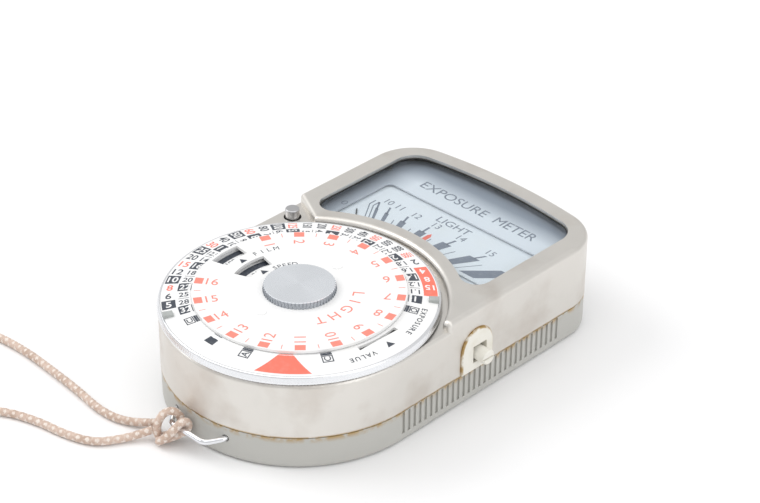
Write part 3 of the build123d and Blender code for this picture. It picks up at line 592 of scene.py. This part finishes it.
def braid_height(around, along):
    """Height of the plaited yarns, 0 to 1: two sets of strands that cross over and under."""
    left = around * BRAID_STRANDS + along
    right = around * BRAID_STRANDS - along
    over = (math.floor(left) + math.floor(right)) % 2
    share = (left if over else right) % 1
    return abs(math.sin(math.pi * share)) ** BRAID_FULLNESS


def is_fleck(around, along):
    """1 where the pale yarn lies on top: every other strand of the right-hand set."""
    left = math.floor(around * BRAID_STRANDS + along)
    right = math.floor(around * BRAID_STRANDS - along)
    return int((left + right) % 2 == 0 and right % 2 == 0)


def braided_tube(name, line):
    """Closed tube along a line, its surface plaited in the mesh itself."""
    points, length = evenly(line, BRAID_STEP)
    radius = CORD_DIAMETER / 2 * MM
    made = bmesh.new()
    rings = []
    alongs = []
    tangent = (points[1] - points[0]).normalized()
    side = tangent.orthogonal().normalized()
    for index, point in enumerate(points):
        before = points[max(0, index - 1)]
        after = points[min(len(points) - 1, index + 1)]
        turned = (after - before).normalized()
        side = (tangent.rotation_difference(turned) @ side).normalized()
        tangent = turned
        third = tangent.cross(side)
        along = length * index / (len(points) - 1) / BRAID_PITCH * 2
        alongs.append(along)
        ring = []
        for step in range(BRAID_AROUND):
            angle = TAU * step / BRAID_AROUND
            height = braid_height(step / BRAID_AROUND, along)
            reach = radius * (1 - BRAID_RELIEF + BRAID_RELIEF * height)
            ring.append(made.verts.new(point + (side * math.cos(angle) + third * math.sin(angle)) * reach))
        rings.append(ring)
    for first, second, along in zip(rings, rings[1:], alongs):
        for step in range(BRAID_AROUND):
            after = (step + 1) % BRAID_AROUND
            face = made.faces.new((first[step], first[after], second[after], second[step]))
            face.material_index = is_fleck((step + 0.5) / BRAID_AROUND, along)
    made.faces.new(list(reversed(rings[0])))
    made.faces.new(rings[-1])
    mesh = bpy.data.meshes.new(name)
    made.to_mesh(mesh)
    made.free()
    mesh.shade_smooth()
    return mesh, points, length


# The cord doubled round the bail: a standing ring on the left, and the bight drawn across it.
knot_ring = [
    (-6.9, -37.0, 1.5), (-7.3, -37.1, 3.2), (-7.3, -36.4, 5.3), (-6.8, -35.0, 7.0), (-5.6, -33.6, 7.4),
    (-4.4, -32.7, 6.4), (-3.9, -32.5, 4.6), (-4.3, -32.9, 2.6), (-5.4, -34.4, 1.4), (-6.6, -36.0, 1.2),
]
knot_bight = [
    (-5.6, -38.2, 1.3), (-4.4, -37.9, 2.3), (-3.2, -37.0, 3.8), (-2.2, -35.9, 5.6), (-1.6, -34.5, 6.9),
    (-1.3, -33.0, 6.2), (-1.6, -32.7, 4.3), (-2.4, -33.6, 3.0), (-3.6, -35.2, 2.2), (-5.0, -36.9, 1.4),
    (-6.4, -38.0, 1.0),
]


def add_yarn(name, mesh):
    """A braided piece, with its two yarns."""
    piece = add_piece(name, mesh, finishes["cord_braid"], "case")
    mesh.materials.append(cord_fleck)
    return piece


def add_cord():
    """The whole neck cord as one line: out of the knot, round its put-away coil and back to the knot."""
    line = spline_points("cord_line", upper_route + coil_route() + lower_route)
    mesh, points, length = braided_tube("neck_cord", line)
    cord = add_yarn("neck_cord", mesh)
    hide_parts("strap_cord_upper", "strap_cord_lower", "strap_coil")
    for name, route in (("knot_ring", knot_ring), ("knot_bight", knot_bight)):
        shape, _, _ = braided_tube(name, spline_points(name, route))
        add_yarn(name, shape)
    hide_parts("strap_knot")


add_cord()


# ======================================================================== printing
PRINT_LIFT = 0.012
PRINT_DEPTH = 0.012
glyphs = {}


def glyph(text, bold):
    """Flat outline of a word or number in the plain built-in face, with its size made 1 by 1."""
    if (text, bold) not in glyphs:
        curve = bpy.data.curves.new("glyph", "FONT")
        curve.body = text
        curve.resolution_u = 4
        curve.offset = bold
        letters = bpy.data.objects.new("glyph", curve)
        mesh = bpy.data.meshes.new_from_object(letters)
        low = [min(vertex.co[axis] for vertex in mesh.vertices) for axis in (0, 1)]
        high = [max(vertex.co[axis] for vertex in mesh.vertices) for axis in (0, 1)]
        size = (high[0] - low[0], high[1] - low[1])
        points = [
            ((vertex.co.x - low[0]) / size[0] - 0.5, (vertex.co.y - low[1]) / size[1] - 0.5)
            for vertex in mesh.vertices
        ]
        faces = [tuple(face.vertices) for face in mesh.polygons]
        glyphs[text, bold] = (points, faces, size[0] / size[1])
        bpy.data.objects.remove(letters)
        bpy.data.meshes.remove(mesh)
        bpy.data.curves.remove(curve)
    return glyphs[text, bold]


class Print:
    """A layer of ink, laid on a surface whose height is a function of the place in the plan."""

    def __init__(self, name, material, body, slot, surface, layer=1, bold=0.0):
        self.name = name
        self.material = material
        self.body = body
        self.slot = slot
        self.surface = surface
        self.bold = bold
        self.low = PRINT_LIFT * layer
        self.made = bmesh.new()

    def faces(self, points, faces):
        """Closed thin slab over each face."""
        levels = []
        for lift in (self.low, self.low + PRINT_DEPTH):
            levels.append([
                self.made.verts.new(Vector((x, y, self.surface(x, y) + lift)) * MM) for x, y in points
            ])
        edges = {}
        for face in faces:
            self.made.faces.new([levels[1][index] for index in face])
            self.made.faces.new([levels[0][index] for index in reversed(face)])
            for first, second in zip(face, face[1:] + face[:1]):
                edges[(first, second)] = True
        for first, second in edges:
            if (second, first) not in edges:
                self.made.faces.new((levels[0][first], levels[0][second], levels[1][second], levels[1][first]))

    def polygon(self, points):
        """One flat patch."""
        self.faces([tuple(point) for point in points], [tuple(range(len(points)))])

    def block(self, centre, turn, width, height):
        """Rectangle whose width runs along the turn, in degrees."""
        across = polar(1, turn)
        up = polar(1, turn + 90)
        self.polygon([
            centre + across * width * x + up * height * y
            for x, y in ((-0.5, -0.5), (0.5, -0.5), (0.5, 0.5), (-0.5, 0.5))
        ])

    def outline(self, centre, turn, width, height, line):
        """Hollow rectangle drawn with a line."""
        across = polar(1, turn)
        up = polar(1, turn + 90)
        for sign in (-0.5, 0.5):
            self.block(centre + up * (height - line) * sign, turn, width, line)
            self.block(centre + across * (width - line) * sign, turn, line, height - 2 * line)

    def sector(self, inner, outer, start, end, steps=6):
        """Patch of a ring, with round edges."""
        angles = [start + (end - start) * step / steps for step in range(steps + 1)]
        low = [polar(inner, angle) for angle in angles]
        high = [polar(outer, angle) for angle in angles]
        points = [tuple(point) for point in low + high]
        count = steps + 1
        self.faces(points, [(i, count + i, count + i + 1, i + 1) for i in range(steps)])

    def wedge(self, inner, outer, middle, half_inner, half_outer, rows=6, steps=8):
        """Patch of a ring that widens outward, in small pieces so that it follows the surface."""
        points = []
        for row in range(rows + 1):
            share = row / rows
            half = half_inner + (half_outer - half_inner) * share
            for step in range(steps + 1):
                angle = middle + half * (2 * step / steps - 1)
                points.append(tuple(polar(inner + (outer - inner) * share, angle)))
        wide = steps + 1
        self.faces(points, [
            (row * wide + step, (row + 1) * wide + step, (row + 1) * wide + step + 1, row * wide + step + 1)
            for row in range(rows) for step in range(steps)
        ])

    def text(self, word, centre, turn, height, width=None, limit=None):
        """A word of a given cap height, narrowed to a limit; its reading direction is the turn."""
        points, faces, aspect = glyph(word, self.bold)
        width = width or aspect * height
        if limit:
            width = min(width, limit)
        across = polar(1, turn)
        up = polar(1, turn + 90)
        places = [centre + across * x * width + up * y * height for x, y in points]
        self.faces([tuple(place) for place in places], faces)

    def finish(self):
        """Makes the layer a piece of the scene."""
        bmesh.ops.recalc_face_normals(self.made, faces=self.made.faces)
        mesh = bpy.data.meshes.new(self.name)
        self.made.to_mesh(mesh)
        self.made.free()
        return add_piece(self.name, mesh, self.material, self.body)


DISC_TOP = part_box("light_disc")[1].z / MM
FACE_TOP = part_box("dial_face")[1].z / MM
FILM_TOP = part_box("film_disc")[1].z / MM
EV_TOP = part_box("ev_disc")[1].z / MM
MASK_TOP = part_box("scale_mask")[1].z / MM
SCALE_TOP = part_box("scale_plate")[1].z / MM
CONE_INNER = 24.4
CONE_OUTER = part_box("dial_face")[1].x / MM
CONE_LOW = 24.2  # height of the cone at its outer edge


def flat(height):
    """A level surface at a height."""
    return lambda x, y: height


def cone(x, y):
    """Height of the dial face, which slopes down from the disc to the rim."""
    share = (math.hypot(x, y) - CONE_INNER) / (CONE_OUTER - CONE_INNER)
    return FACE_TOP + (CONE_LOW - FACE_TOP) * min(1, max(0, share))


def spell(ink, word, radius, start, step, height):
    """Lays a word clockwise along an arc, its letters' tops outward."""
    for index, letter in enumerate(word):
        angle = start - step * index
        ink.text(letter, polar(radius, angle), angle - 90, height)


# ---- light disc ----
LIGHT_COUNT = 16
LIGHT_FIRST = 156.0
LIGHT_STEP = 20
LIGHT_NUMBER_RADIUS = 19.7
LIGHT_BLOCK_RADIUS = 22.75
LIGHT_TICK_RADIUS = 22.7
TITLE_RADIUS = 13.2
TITLE_ANGLES = (35.6, 22.3, 7.8, -9.5, -24.7)
FILM_ARROWS = ((17.6, 183.0), (10.9, 184.0))  # radius and angle
FILM_WORDS = (("FILM", 17.8, 170.0, 5.6), ("SPEED", 10.4, 168.0, 6.6))  # word, radius, first angle, step
RIVET_RADIUS = 12.36
RIVET_ANGLES = (92.8, 272.8)
RIVET_EDGE_RADIUS = 0.92
RIVET_EDGE_STEPS = 20


def print_light_numbers():
    """The ring of light numbers, each with its square, ticks between them, and the title."""
    red = Print("light_disc_red", ink_rose, "light_dial", "dial_white", flat(DISC_TOP))
    for index in range(LIGHT_COUNT):
        angle = LIGHT_FIRST - LIGHT_STEP * index
        red.text(str(index + 1), polar(LIGHT_NUMBER_RADIUS, angle), angle + 180, 2.5, limit=3.3)
        red.block(polar(LIGHT_BLOCK_RADIUS, angle), angle, 1.9, 2.35)
        if index < LIGHT_COUNT - 1:
            between = angle - LIGHT_STEP / 2
            red.block(polar(LIGHT_TICK_RADIUS, between), between, 1.5, 0.16)
    for letter, angle in zip("LIGHT", TITLE_ANGLES):
        red.text(letter, polar(TITLE_RADIUS, angle), angle - 90, 2.6)
    red.finish()


def print_film_labels():
    """The arrows and words beside the two film windows."""
    black = Print("light_disc_black", ink_black, "light_dial", "dial_white", flat(DISC_TOP))
    for radius, angle in FILM_ARROWS:
        base = polar(radius - 0.75, angle)
        side = polar(0.95, angle + 90)
        black.polygon([base + side, polar(radius + 0.85, angle), base - side])
    for word, radius, start, step in FILM_WORDS:
        spell(black, word, radius, start, step, 1.35)
    black.finish()


def print_rivet_edges():
    """The thin grey line round each rivet."""
    edges = Print("rivet_edges", lug_grey, "light_dial", "dial_white", flat(DISC_TOP))
    for angle in RIVET_ANGLES:
        for step in range(RIVET_EDGE_STEPS):
            turn = 360 / RIVET_EDGE_STEPS * step
            edges.block(polar(RIVET_RADIUS, angle) + polar(RIVET_EDGE_RADIUS, turn), turn, 0.16, 0.3)
    edges.finish()


# ---- dial face ----
BAND_INNER = (24.15, 27.25)
BAND_OUTER = (27.55, 30.65)
BAND_DEEP = BAND_INNER[1] - BAND_INNER[0]
STOP_RADIUS = sum(BAND_INNER) / 2
STOP_FIRST = 239.2
STOP_STEP = 20
SPEED_RADIUS = sum(BAND_OUTER) / 2
SPEED_FIRST = 232.6
SPEED_STEP = 6.69
STOPS = ("32", "22", "16", "11", "8", "5.6", "4", "2.8", "2", "1.4", "1")
THIRDS = (
    ("28", "25"), ("20", "18"), ("14", "12.5"), ("10", "9"), ("7", "6.3"), ("5", "4.5"),
    ("3.5", "3.2"), ("2.5", "2.2"), ("1.8", "1.6"), ("1.2", "1.1"),
)
SPEEDS = (
    "5", "6", "8", "10", "12", "15", "20", "25", "30", "40", "50", "60", "80", "100", "125", "150",
    "200", "250", "300", "400", "500", "600", "800", "1000",
)
BOXED_SPEEDS = ("5", "10", "25", "50", "100")
RED_SPEEDS = ("8", "15", "30", "60", "125", "250", "500", "1000")
SECONDS_PATCH = (43.2, 67.2)
SECONDS = (("4", 63.6), ("8", 56.9), ("15", 50.2))
SETTING_MARKS = (("O", 29.5), ("U", 249.2), ("A", 289.0), ("C", 328.9))
SETTING_RADIUS = 26.1


def print_stops(black, white):
    """Inner band: whole stops in black boxes, and their thirds with lines between."""
    for index, stop in enumerate(STOPS):
        angle = STOP_FIRST - STOP_STEP * index
        black.sector(*BAND_INNER, angle - 3.25, angle + 3.25)
        white.text(stop, polar(STOP_RADIUS, angle), angle + 180, 2.0, limit=BAND_DEEP - 0.7)
    for index, pair in enumerate(THIRDS):
        for third, label in enumerate(pair, 1):
            angle = STOP_FIRST - STOP_STEP * index - STOP_STEP / 3 * third
            black.text(label, polar(STOP_RADIUS, angle), angle + 180, 1.7, limit=BAND_DEEP - 0.5)
            black.block(polar(STOP_RADIUS, angle + 3.33), angle + 3.33, BAND_DEEP * 0.75, 0.13)


def print_speeds(black, red, white):
    """Outer band: fractions of a second, then whole seconds on a red patch."""
    for index, speed in enumerate(SPEEDS):
        angle = SPEED_FIRST - SPEED_STEP * index
        ink = red if speed in RED_SPEEDS else black
        if speed in BOXED_SPEEDS:
            black.sector(*BAND_OUTER, angle - 3.2, angle + 3.2)
            ink = white
        ink.text(speed, polar(SPEED_RADIUS, angle), angle + 180, 2.2, limit=BAND_DEEP - 0.55)
    black.text("2", polar(SPEED_RADIUS, 72), 252, 2.2)
    red.sector(*BAND_OUTER, *SECONDS_PATCH, steps=20)
    for label, angle in SECONDS:
        white.text(label, polar(SPEED_RADIUS, angle), angle + 180, 2.0, limit=BAND_DEEP - 0.8)


def print_setting_marks(black, red):
    """Framed letters, the black square and the red wedge that the light numbers are set against."""
    for label, angle in SETTING_MARKS:
        black.sector(24.1, 24.95, angle - 2.9, angle + 2.9)
        black.outline(polar(SETTING_RADIUS, angle), angle, 2.1, 2.5, 0.24)
        black.text(label, polar(SETTING_RADIUS, angle), angle + 180, 1.5)
    black.sector(24.1, 27.2, 266.4, 272.0)
    red.wedge(24.1, 30.2, 308.8, 3.6, 11.8)


def print_value_label(black):
    """The arrow and words beside the exposure-value slot."""
    black.polygon([polar(26.7, 0), polar(28.4, -2.1), polar(28.4, 2.1)])
    for word, radius, start, end in (("EXPOSURE", 28.3, 31.8, 12.4), ("VALUE", 28.1, -9.7, -21.0)):
        spell(black, word, radius, start, (start - end) / (len(word) - 1), 1.25)


def print_dial_face():
    black = Print("dial_black", ink_black, "outer_dial", "dial_white", cone, bold=0.012)
    red = Print("dial_red", ink_red, "outer_dial", "dial_white", cone, bold=0.012)
    white = Print("dial_white_digits", ink_white, "outer_dial", "dial_white", cone, layer=3, bold=0.02)
    print_stops(black, white)
    print_speeds(black, red, white)
    print_setting_marks(black, red)
    print_value_label(black)
    for ink in (black, red, white):
        ink.finish()


# ---- discs seen through the windows ----
FILM_SPEEDS = ("25", "50", "100", "200", "400", "800")
FILM_FIRST = 154.2
FILM_STEP = 15
FILM_SPEED_RADIUS = 20.6
FILM_DEGREE_RADIUS = 13.2
FILM_DEGREES = (15, 18, 21, 24, 27, 30)  # the same speeds on the logarithmic scale
# painted shade: black rings on the film disc, inner and outer radius, that darken the insides of the film
# windows
FILM_SHADE_BANDS = ((21.7, 23.6), (14.4, 16.2))
# painted shadow along the inner edge and the two ends of the exposure-value slot, printed in black
SLOT_SHADOW_EDGES = (  # inner and outer radius, first and last angle, steps
    (24.55, 24.85, -14.0, 11.0, 12), (24.6, 25.9, -14.2, -12.6, 6), (24.6, 25.9, 9.6, 11.2, 6),
)
VALUE_COUNT = 18
VALUE_FIRST = -4
VALUE_STEP = 20
VALUE_RADIUS = 25.3


def print_hidden_discs():
    """Film speeds under the two film windows, with black rings of painted shade inside those windows; the
    painted shadow along the edges of the exposure-value slot; and the slot's values.
    """
    film = Print("film_disc_black", ink_black, "outer_dial", "dial_white", flat(FILM_TOP))
    for index, (speed, degree) in enumerate(zip(FILM_SPEEDS, FILM_DEGREES)):
        angle = FILM_FIRST + FILM_STEP * index
        film.text(speed, polar(FILM_SPEED_RADIUS, angle), angle - 90, 1.5, limit=3.2)
        film.text(str(degree), polar(FILM_DEGREE_RADIUS, angle), angle - 90, 1.4, limit=2.2)
        # painted shade inside the film windows
        for inner, outer in FILM_SHADE_BANDS:
            film.sector(inner, outer, angle - FILM_STEP / 2, angle + FILM_STEP / 2)
    film.finish()
    # painted shadow: black bands along the slot's inner edge and ends
    slot_shadow_print = Print("slot_shadow", ink_black, "outer_dial", "dial_white", flat(EV_TOP), layer=4)
    for inner, outer, start, end, steps in SLOT_SHADOW_EDGES:
        slot_shadow_print.sector(inner, outer, start, end, steps)
    slot_shadow_print.finish()
    values = Print("ev_disc_black", ink_black, "light_dial", "dial_white", flat(EV_TOP))
    for index in range(VALUE_COUNT):
        angle = VALUE_FIRST + VALUE_STEP * index
        between = angle + VALUE_STEP / 2
        values.text(str(index + 2), polar(VALUE_RADIUS, angle), angle - 90, 0.85, limit=1.8)
        values.block(polar(VALUE_RADIUS, between), between, 0.9, 0.12)
    values.finish()


# ---- window ----
PIVOT = Vector((-1.5, 16.5))  # of the pointer
MASK_WORDS = (  # word, X, Y, height and width
    ("EXPOSURE", -6.6, 58.1, 2.9, 20.6), ("METER", 12.7, 58.1, 2.9, 12.4), ("0", -24.3, 38.6, 1.8, 1.5),
)
SCALE_TITLE = Vector((0.65, 50.0))
SCALE_NUMBERS = ((10, -17.6), (11, -14.1), (12, -8.6), (13, -2.2), (14, 5.7), (15, 14.9))  # number and X
SCALE_NUMBER_Y = 47.2
SCALE_MARKS = (  # angle and width, for light numbers 10 to 15
    (121.6, 0.9), (116.2, 1.2), (106.1, 1.8), (93.0, 2.3), (76.6, 2.8), (60.5, 3.2),
)
SCALE_HALVES = (111.0, 99.5, 85.0, 68.8, 54.5)  # angles of the thin lines between
MARK_STEM = (45.5, 42.9)  # Y of the top and foot of each mark's thin stem
MARK_BODY = (43.1, 36.6)
HALF_MARK = (42.0, 36.6)
END_WEDGE = ((49.5, 43.4), (51.5, 36.6), (44.5, 36.6), (44.5, 43.4))  # angle and Y
LOW_LINES = ((-20.6, 126.0), (-19.4, 124.0))  # X of the top, and angle of the foot
RED_MARK = ((-1.1, 40.0), (0.1, 40.0), (0.1, 42.6), (-0.6, 43.7), (-1.1, 42.8))


def along_ray(angle, height):
    """Where the ray from the pointer's pivot at an angle crosses a height in the plan."""
    return PIVOT + polar(1, angle) * ((height - PIVOT.y) / math.sin(math.radians(angle)))


def print_stroke(ink, angle, ends, half_top, half_foot):
    """A mark that points at the pivot, between two heights in the plan, wider at one end."""
    top, foot = (along_ray(angle, height) for height in ends)
    ink.polygon([
        top - Vector((half_top, 0)), foot - Vector((half_foot, 0)),
        foot + Vector((half_foot, 0)), top + Vector((half_top, 0)),
    ])


def print_mask():
    """Lettering on the window's fixed plate."""
    mask = Print("mask_lettering", ink_blue, "case", "mask_white", flat(MASK_TOP))
    for word, x, y, height, width in MASK_WORDS:
        mask.text(word, Vector((x, y)), 0, height, width=width)
    mask.finish()


def print_scale():
    """Light numbers and marks on the sliding scale plate."""
    blue = Print("scale_blue", ink_blue, "range_slide", "scale_white", flat(SCALE_TOP))
    blue.text("LIGHT", SCALE_TITLE, 0, 2.3, width=10.0)
    for number, x in SCALE_NUMBERS:
        blue.text(str(number), Vector((x, SCALE_NUMBER_Y)), 0, 2.0)
    for angle, width in SCALE_MARKS:
        print_stroke(blue, angle, MARK_STEM, 0.28, 0.28)
        print_stroke(blue, angle, MARK_BODY, width / 2, width / 2.6)
    for angle in SCALE_HALVES:
        print_stroke(blue, angle, HALF_MARK, 0.13, 0.1)
    blue.polygon([along_ray(angle, height) for angle, height in END_WEDGE])
    for x, angle in LOW_LINES:
        foot = along_ray(angle, 37.2)
        blue.polygon([
            Vector((x - 0.16, 45.5)), Vector((x - 0.16, 43.4)), foot - Vector((0.14, 0)),
            foot + Vector((0.14, 0)), Vector((x + 0.16, 43.4)), Vector((x + 0.16, 45.5)),
        ])
    blue.finish()
    red = Print("scale_red", ink_red, "range_slide", "scale_white", flat(SCALE_TOP))
    red.polygon([Vector(point) for point in RED_MARK])
    red.finish()


print_light_numbers()
print_film_labels()
print_rivet_edges()
print_dial_face()
print_hidden_discs()
print_mask()
print_scale()


# ---- white plate under the scale, where the window's low corners look past it ----
LINER_LOW = 19.9
LINER_TOP = 20.05
LINER_OUTLINE = (
    (-24.6, 26.6), (-11.5, 26.6), (-11.5, 29.7), (11.5, 29.7), (11.5, 26.6), (24.6, 26.6), (24.6, 36.4),
    (-24.6, 36.4),
)


def add_liner():
    """Fixed white plate just below the moving scale."""
    made = bmesh.new()
    low = [made.verts.new(Vector((x, y, LINER_LOW)) * MM) for x, y in LINER_OUTLINE]
    top = [made.verts.new(Vector((x, y, LINER_TOP)) * MM) for x, y in LINER_OUTLINE]
    made.faces.new(top)
    made.faces.new(low[::-1])
    for index in range(len(low)):
        after = (index + 1) % len(low)
        made.faces.new((low[index], low[after], top[after], top[index]))
    mesh = bpy.data.meshes.new("scale_liner")
    made.to_mesh(mesh)
    made.free()
    add_piece("scale_liner", mesh, finishes["scale_white"], "case")


add_liner()

# ======================================================================== serrated rim
RIM_TEETH = 260
RIM_TOOTH = 0.025  # depth
RIM_STEPS = RIM_TEETH * 4  # half of them on a tooth, half in a gap
RIM_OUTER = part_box("dial_rim")[1].x / MM
RIM_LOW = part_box("dial_rim")[0].z / MM
RIM_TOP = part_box("dial_rim")[1].z / MM


def add_rim():
    """Rim of the outer dial with fine teeth round its edge and a turned, rounded top."""
    profile = [  # radius, height, and the share of the tooth's depth there
        (CONE_OUTER, RIM_LOW, 0), (RIM_OUTER, RIM_LOW, 1), (RIM_OUTER, RIM_LOW + 0.45, 1),
        (RIM_OUTER - 0.08, RIM_LOW + 0.75, 0.8), (RIM_OUTER - 0.25, RIM_TOP - 0.30, 0.3),
        (RIM_OUTER - 0.42, RIM_TOP - 0.10, 0), (RIM_OUTER - 0.62, RIM_TOP, 0), (CONE_OUTER, RIM_TOP, 0),
    ]
    made = bmesh.new()
    rings = []
    for step in range(RIM_STEPS):
        angle = TAU * step / RIM_STEPS
        dent = RIM_TOOTH if step % 4 in (0, 1) else 0.0
        ring = []
        for radius, height, share in profile:
            reach = radius - dent * share
            ring.append(made.verts.new(Vector((reach * math.cos(angle), reach * math.sin(angle), height)) * MM))
        rings.append(ring)
    for step in range(RIM_STEPS):
        here, there = rings[step], rings[(step + 1) % RIM_STEPS]
        for index in range(len(profile)):
            after = (index + 1) % len(profile)
            made.faces.new((here[index], there[index], there[after], here[after]))
    bmesh.ops.recalc_face_normals(made, faces=made.faces)
    mesh = bpy.data.meshes.new("dial_rim_serrated")
    made.to_mesh(mesh)
    made.free()
    rim = add_piece("dial_rim_serrated", mesh, finishes["dial_rim"], "outer_dial")
    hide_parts("dial_rim")


add_rim()


# ======================================================================== floor and light
FLOOR_GAP = 0.03 * MM
FLOOR_REACH = 4.0
LAMP_AIM = Vector((0, 0.02, 0.01))
SOFTBOXES = (  # name, place, size and power
    ("key", (-1.0, -0.45, 1.0), (0.8, 0.8), 6.6),
    ("top", (0.1, -0.1, 1.3), (1.2, 1.2), 4.2),
    ("side", (1.0, 0.1, 0.6), (0.6, 0.9), 2.0),
)
WORLD_STRENGTH = 0.74


def add_floor():
    """Plain pale floor, a hair below the underside so that the two faces don't coincide."""
    mesh = bpy.data.meshes.new("floor")
    corners = [
        (x * FLOOR_REACH, y * FLOOR_REACH, -FLOOR_GAP) for x, y in ((-1, -1), (1, -1), (1, 1), (-1, 1))
    ]
    mesh.from_pydata(corners, [], [(0, 1, 2, 3)])
    floor = bpy.data.objects.new("floor", mesh)
    bpy.context.scene.collection.objects.link(floor)
    made = Finish("floor_white", FLOOR_WHITE, roughness=0.6)
    made.bump(made.noise(40, 2), 0.02 * MM, 0.1)
    mesh.materials.append(made.material)


def add_softbox(name, place, size, power):
    """Large soft lamp that faces the object."""
    data = bpy.data.lights.new(name, "AREA")
    data.shape = "RECTANGLE"
    data.size, data.size_y = size
    data.energy = power
    lamp = bpy.data.objects.new(name, data)
    bpy.context.scene.collection.objects.link(lamp)
    lamp.location = place
    lamp.rotation_euler = (LAMP_AIM - Vector(place)).to_track_quat("-Z", "Y").to_euler()


def add_world():
    """Even white light from all round."""
    world = bpy.data.worlds.new("studio")
    world.use_nodes = True
    background = world.node_tree.nodes["Background"]
    background.inputs["Color"].default_value = (1, 1, 1, 1)
    background.inputs["Strength"].default_value = WORLD_STRENGTH
    bpy.context.scene.world = world


add_floor()
for softbox in SOFTBOXES:
    add_softbox(*softbox)
add_world()
bpy.context.scene.view_settings.view_transform = "Standard"
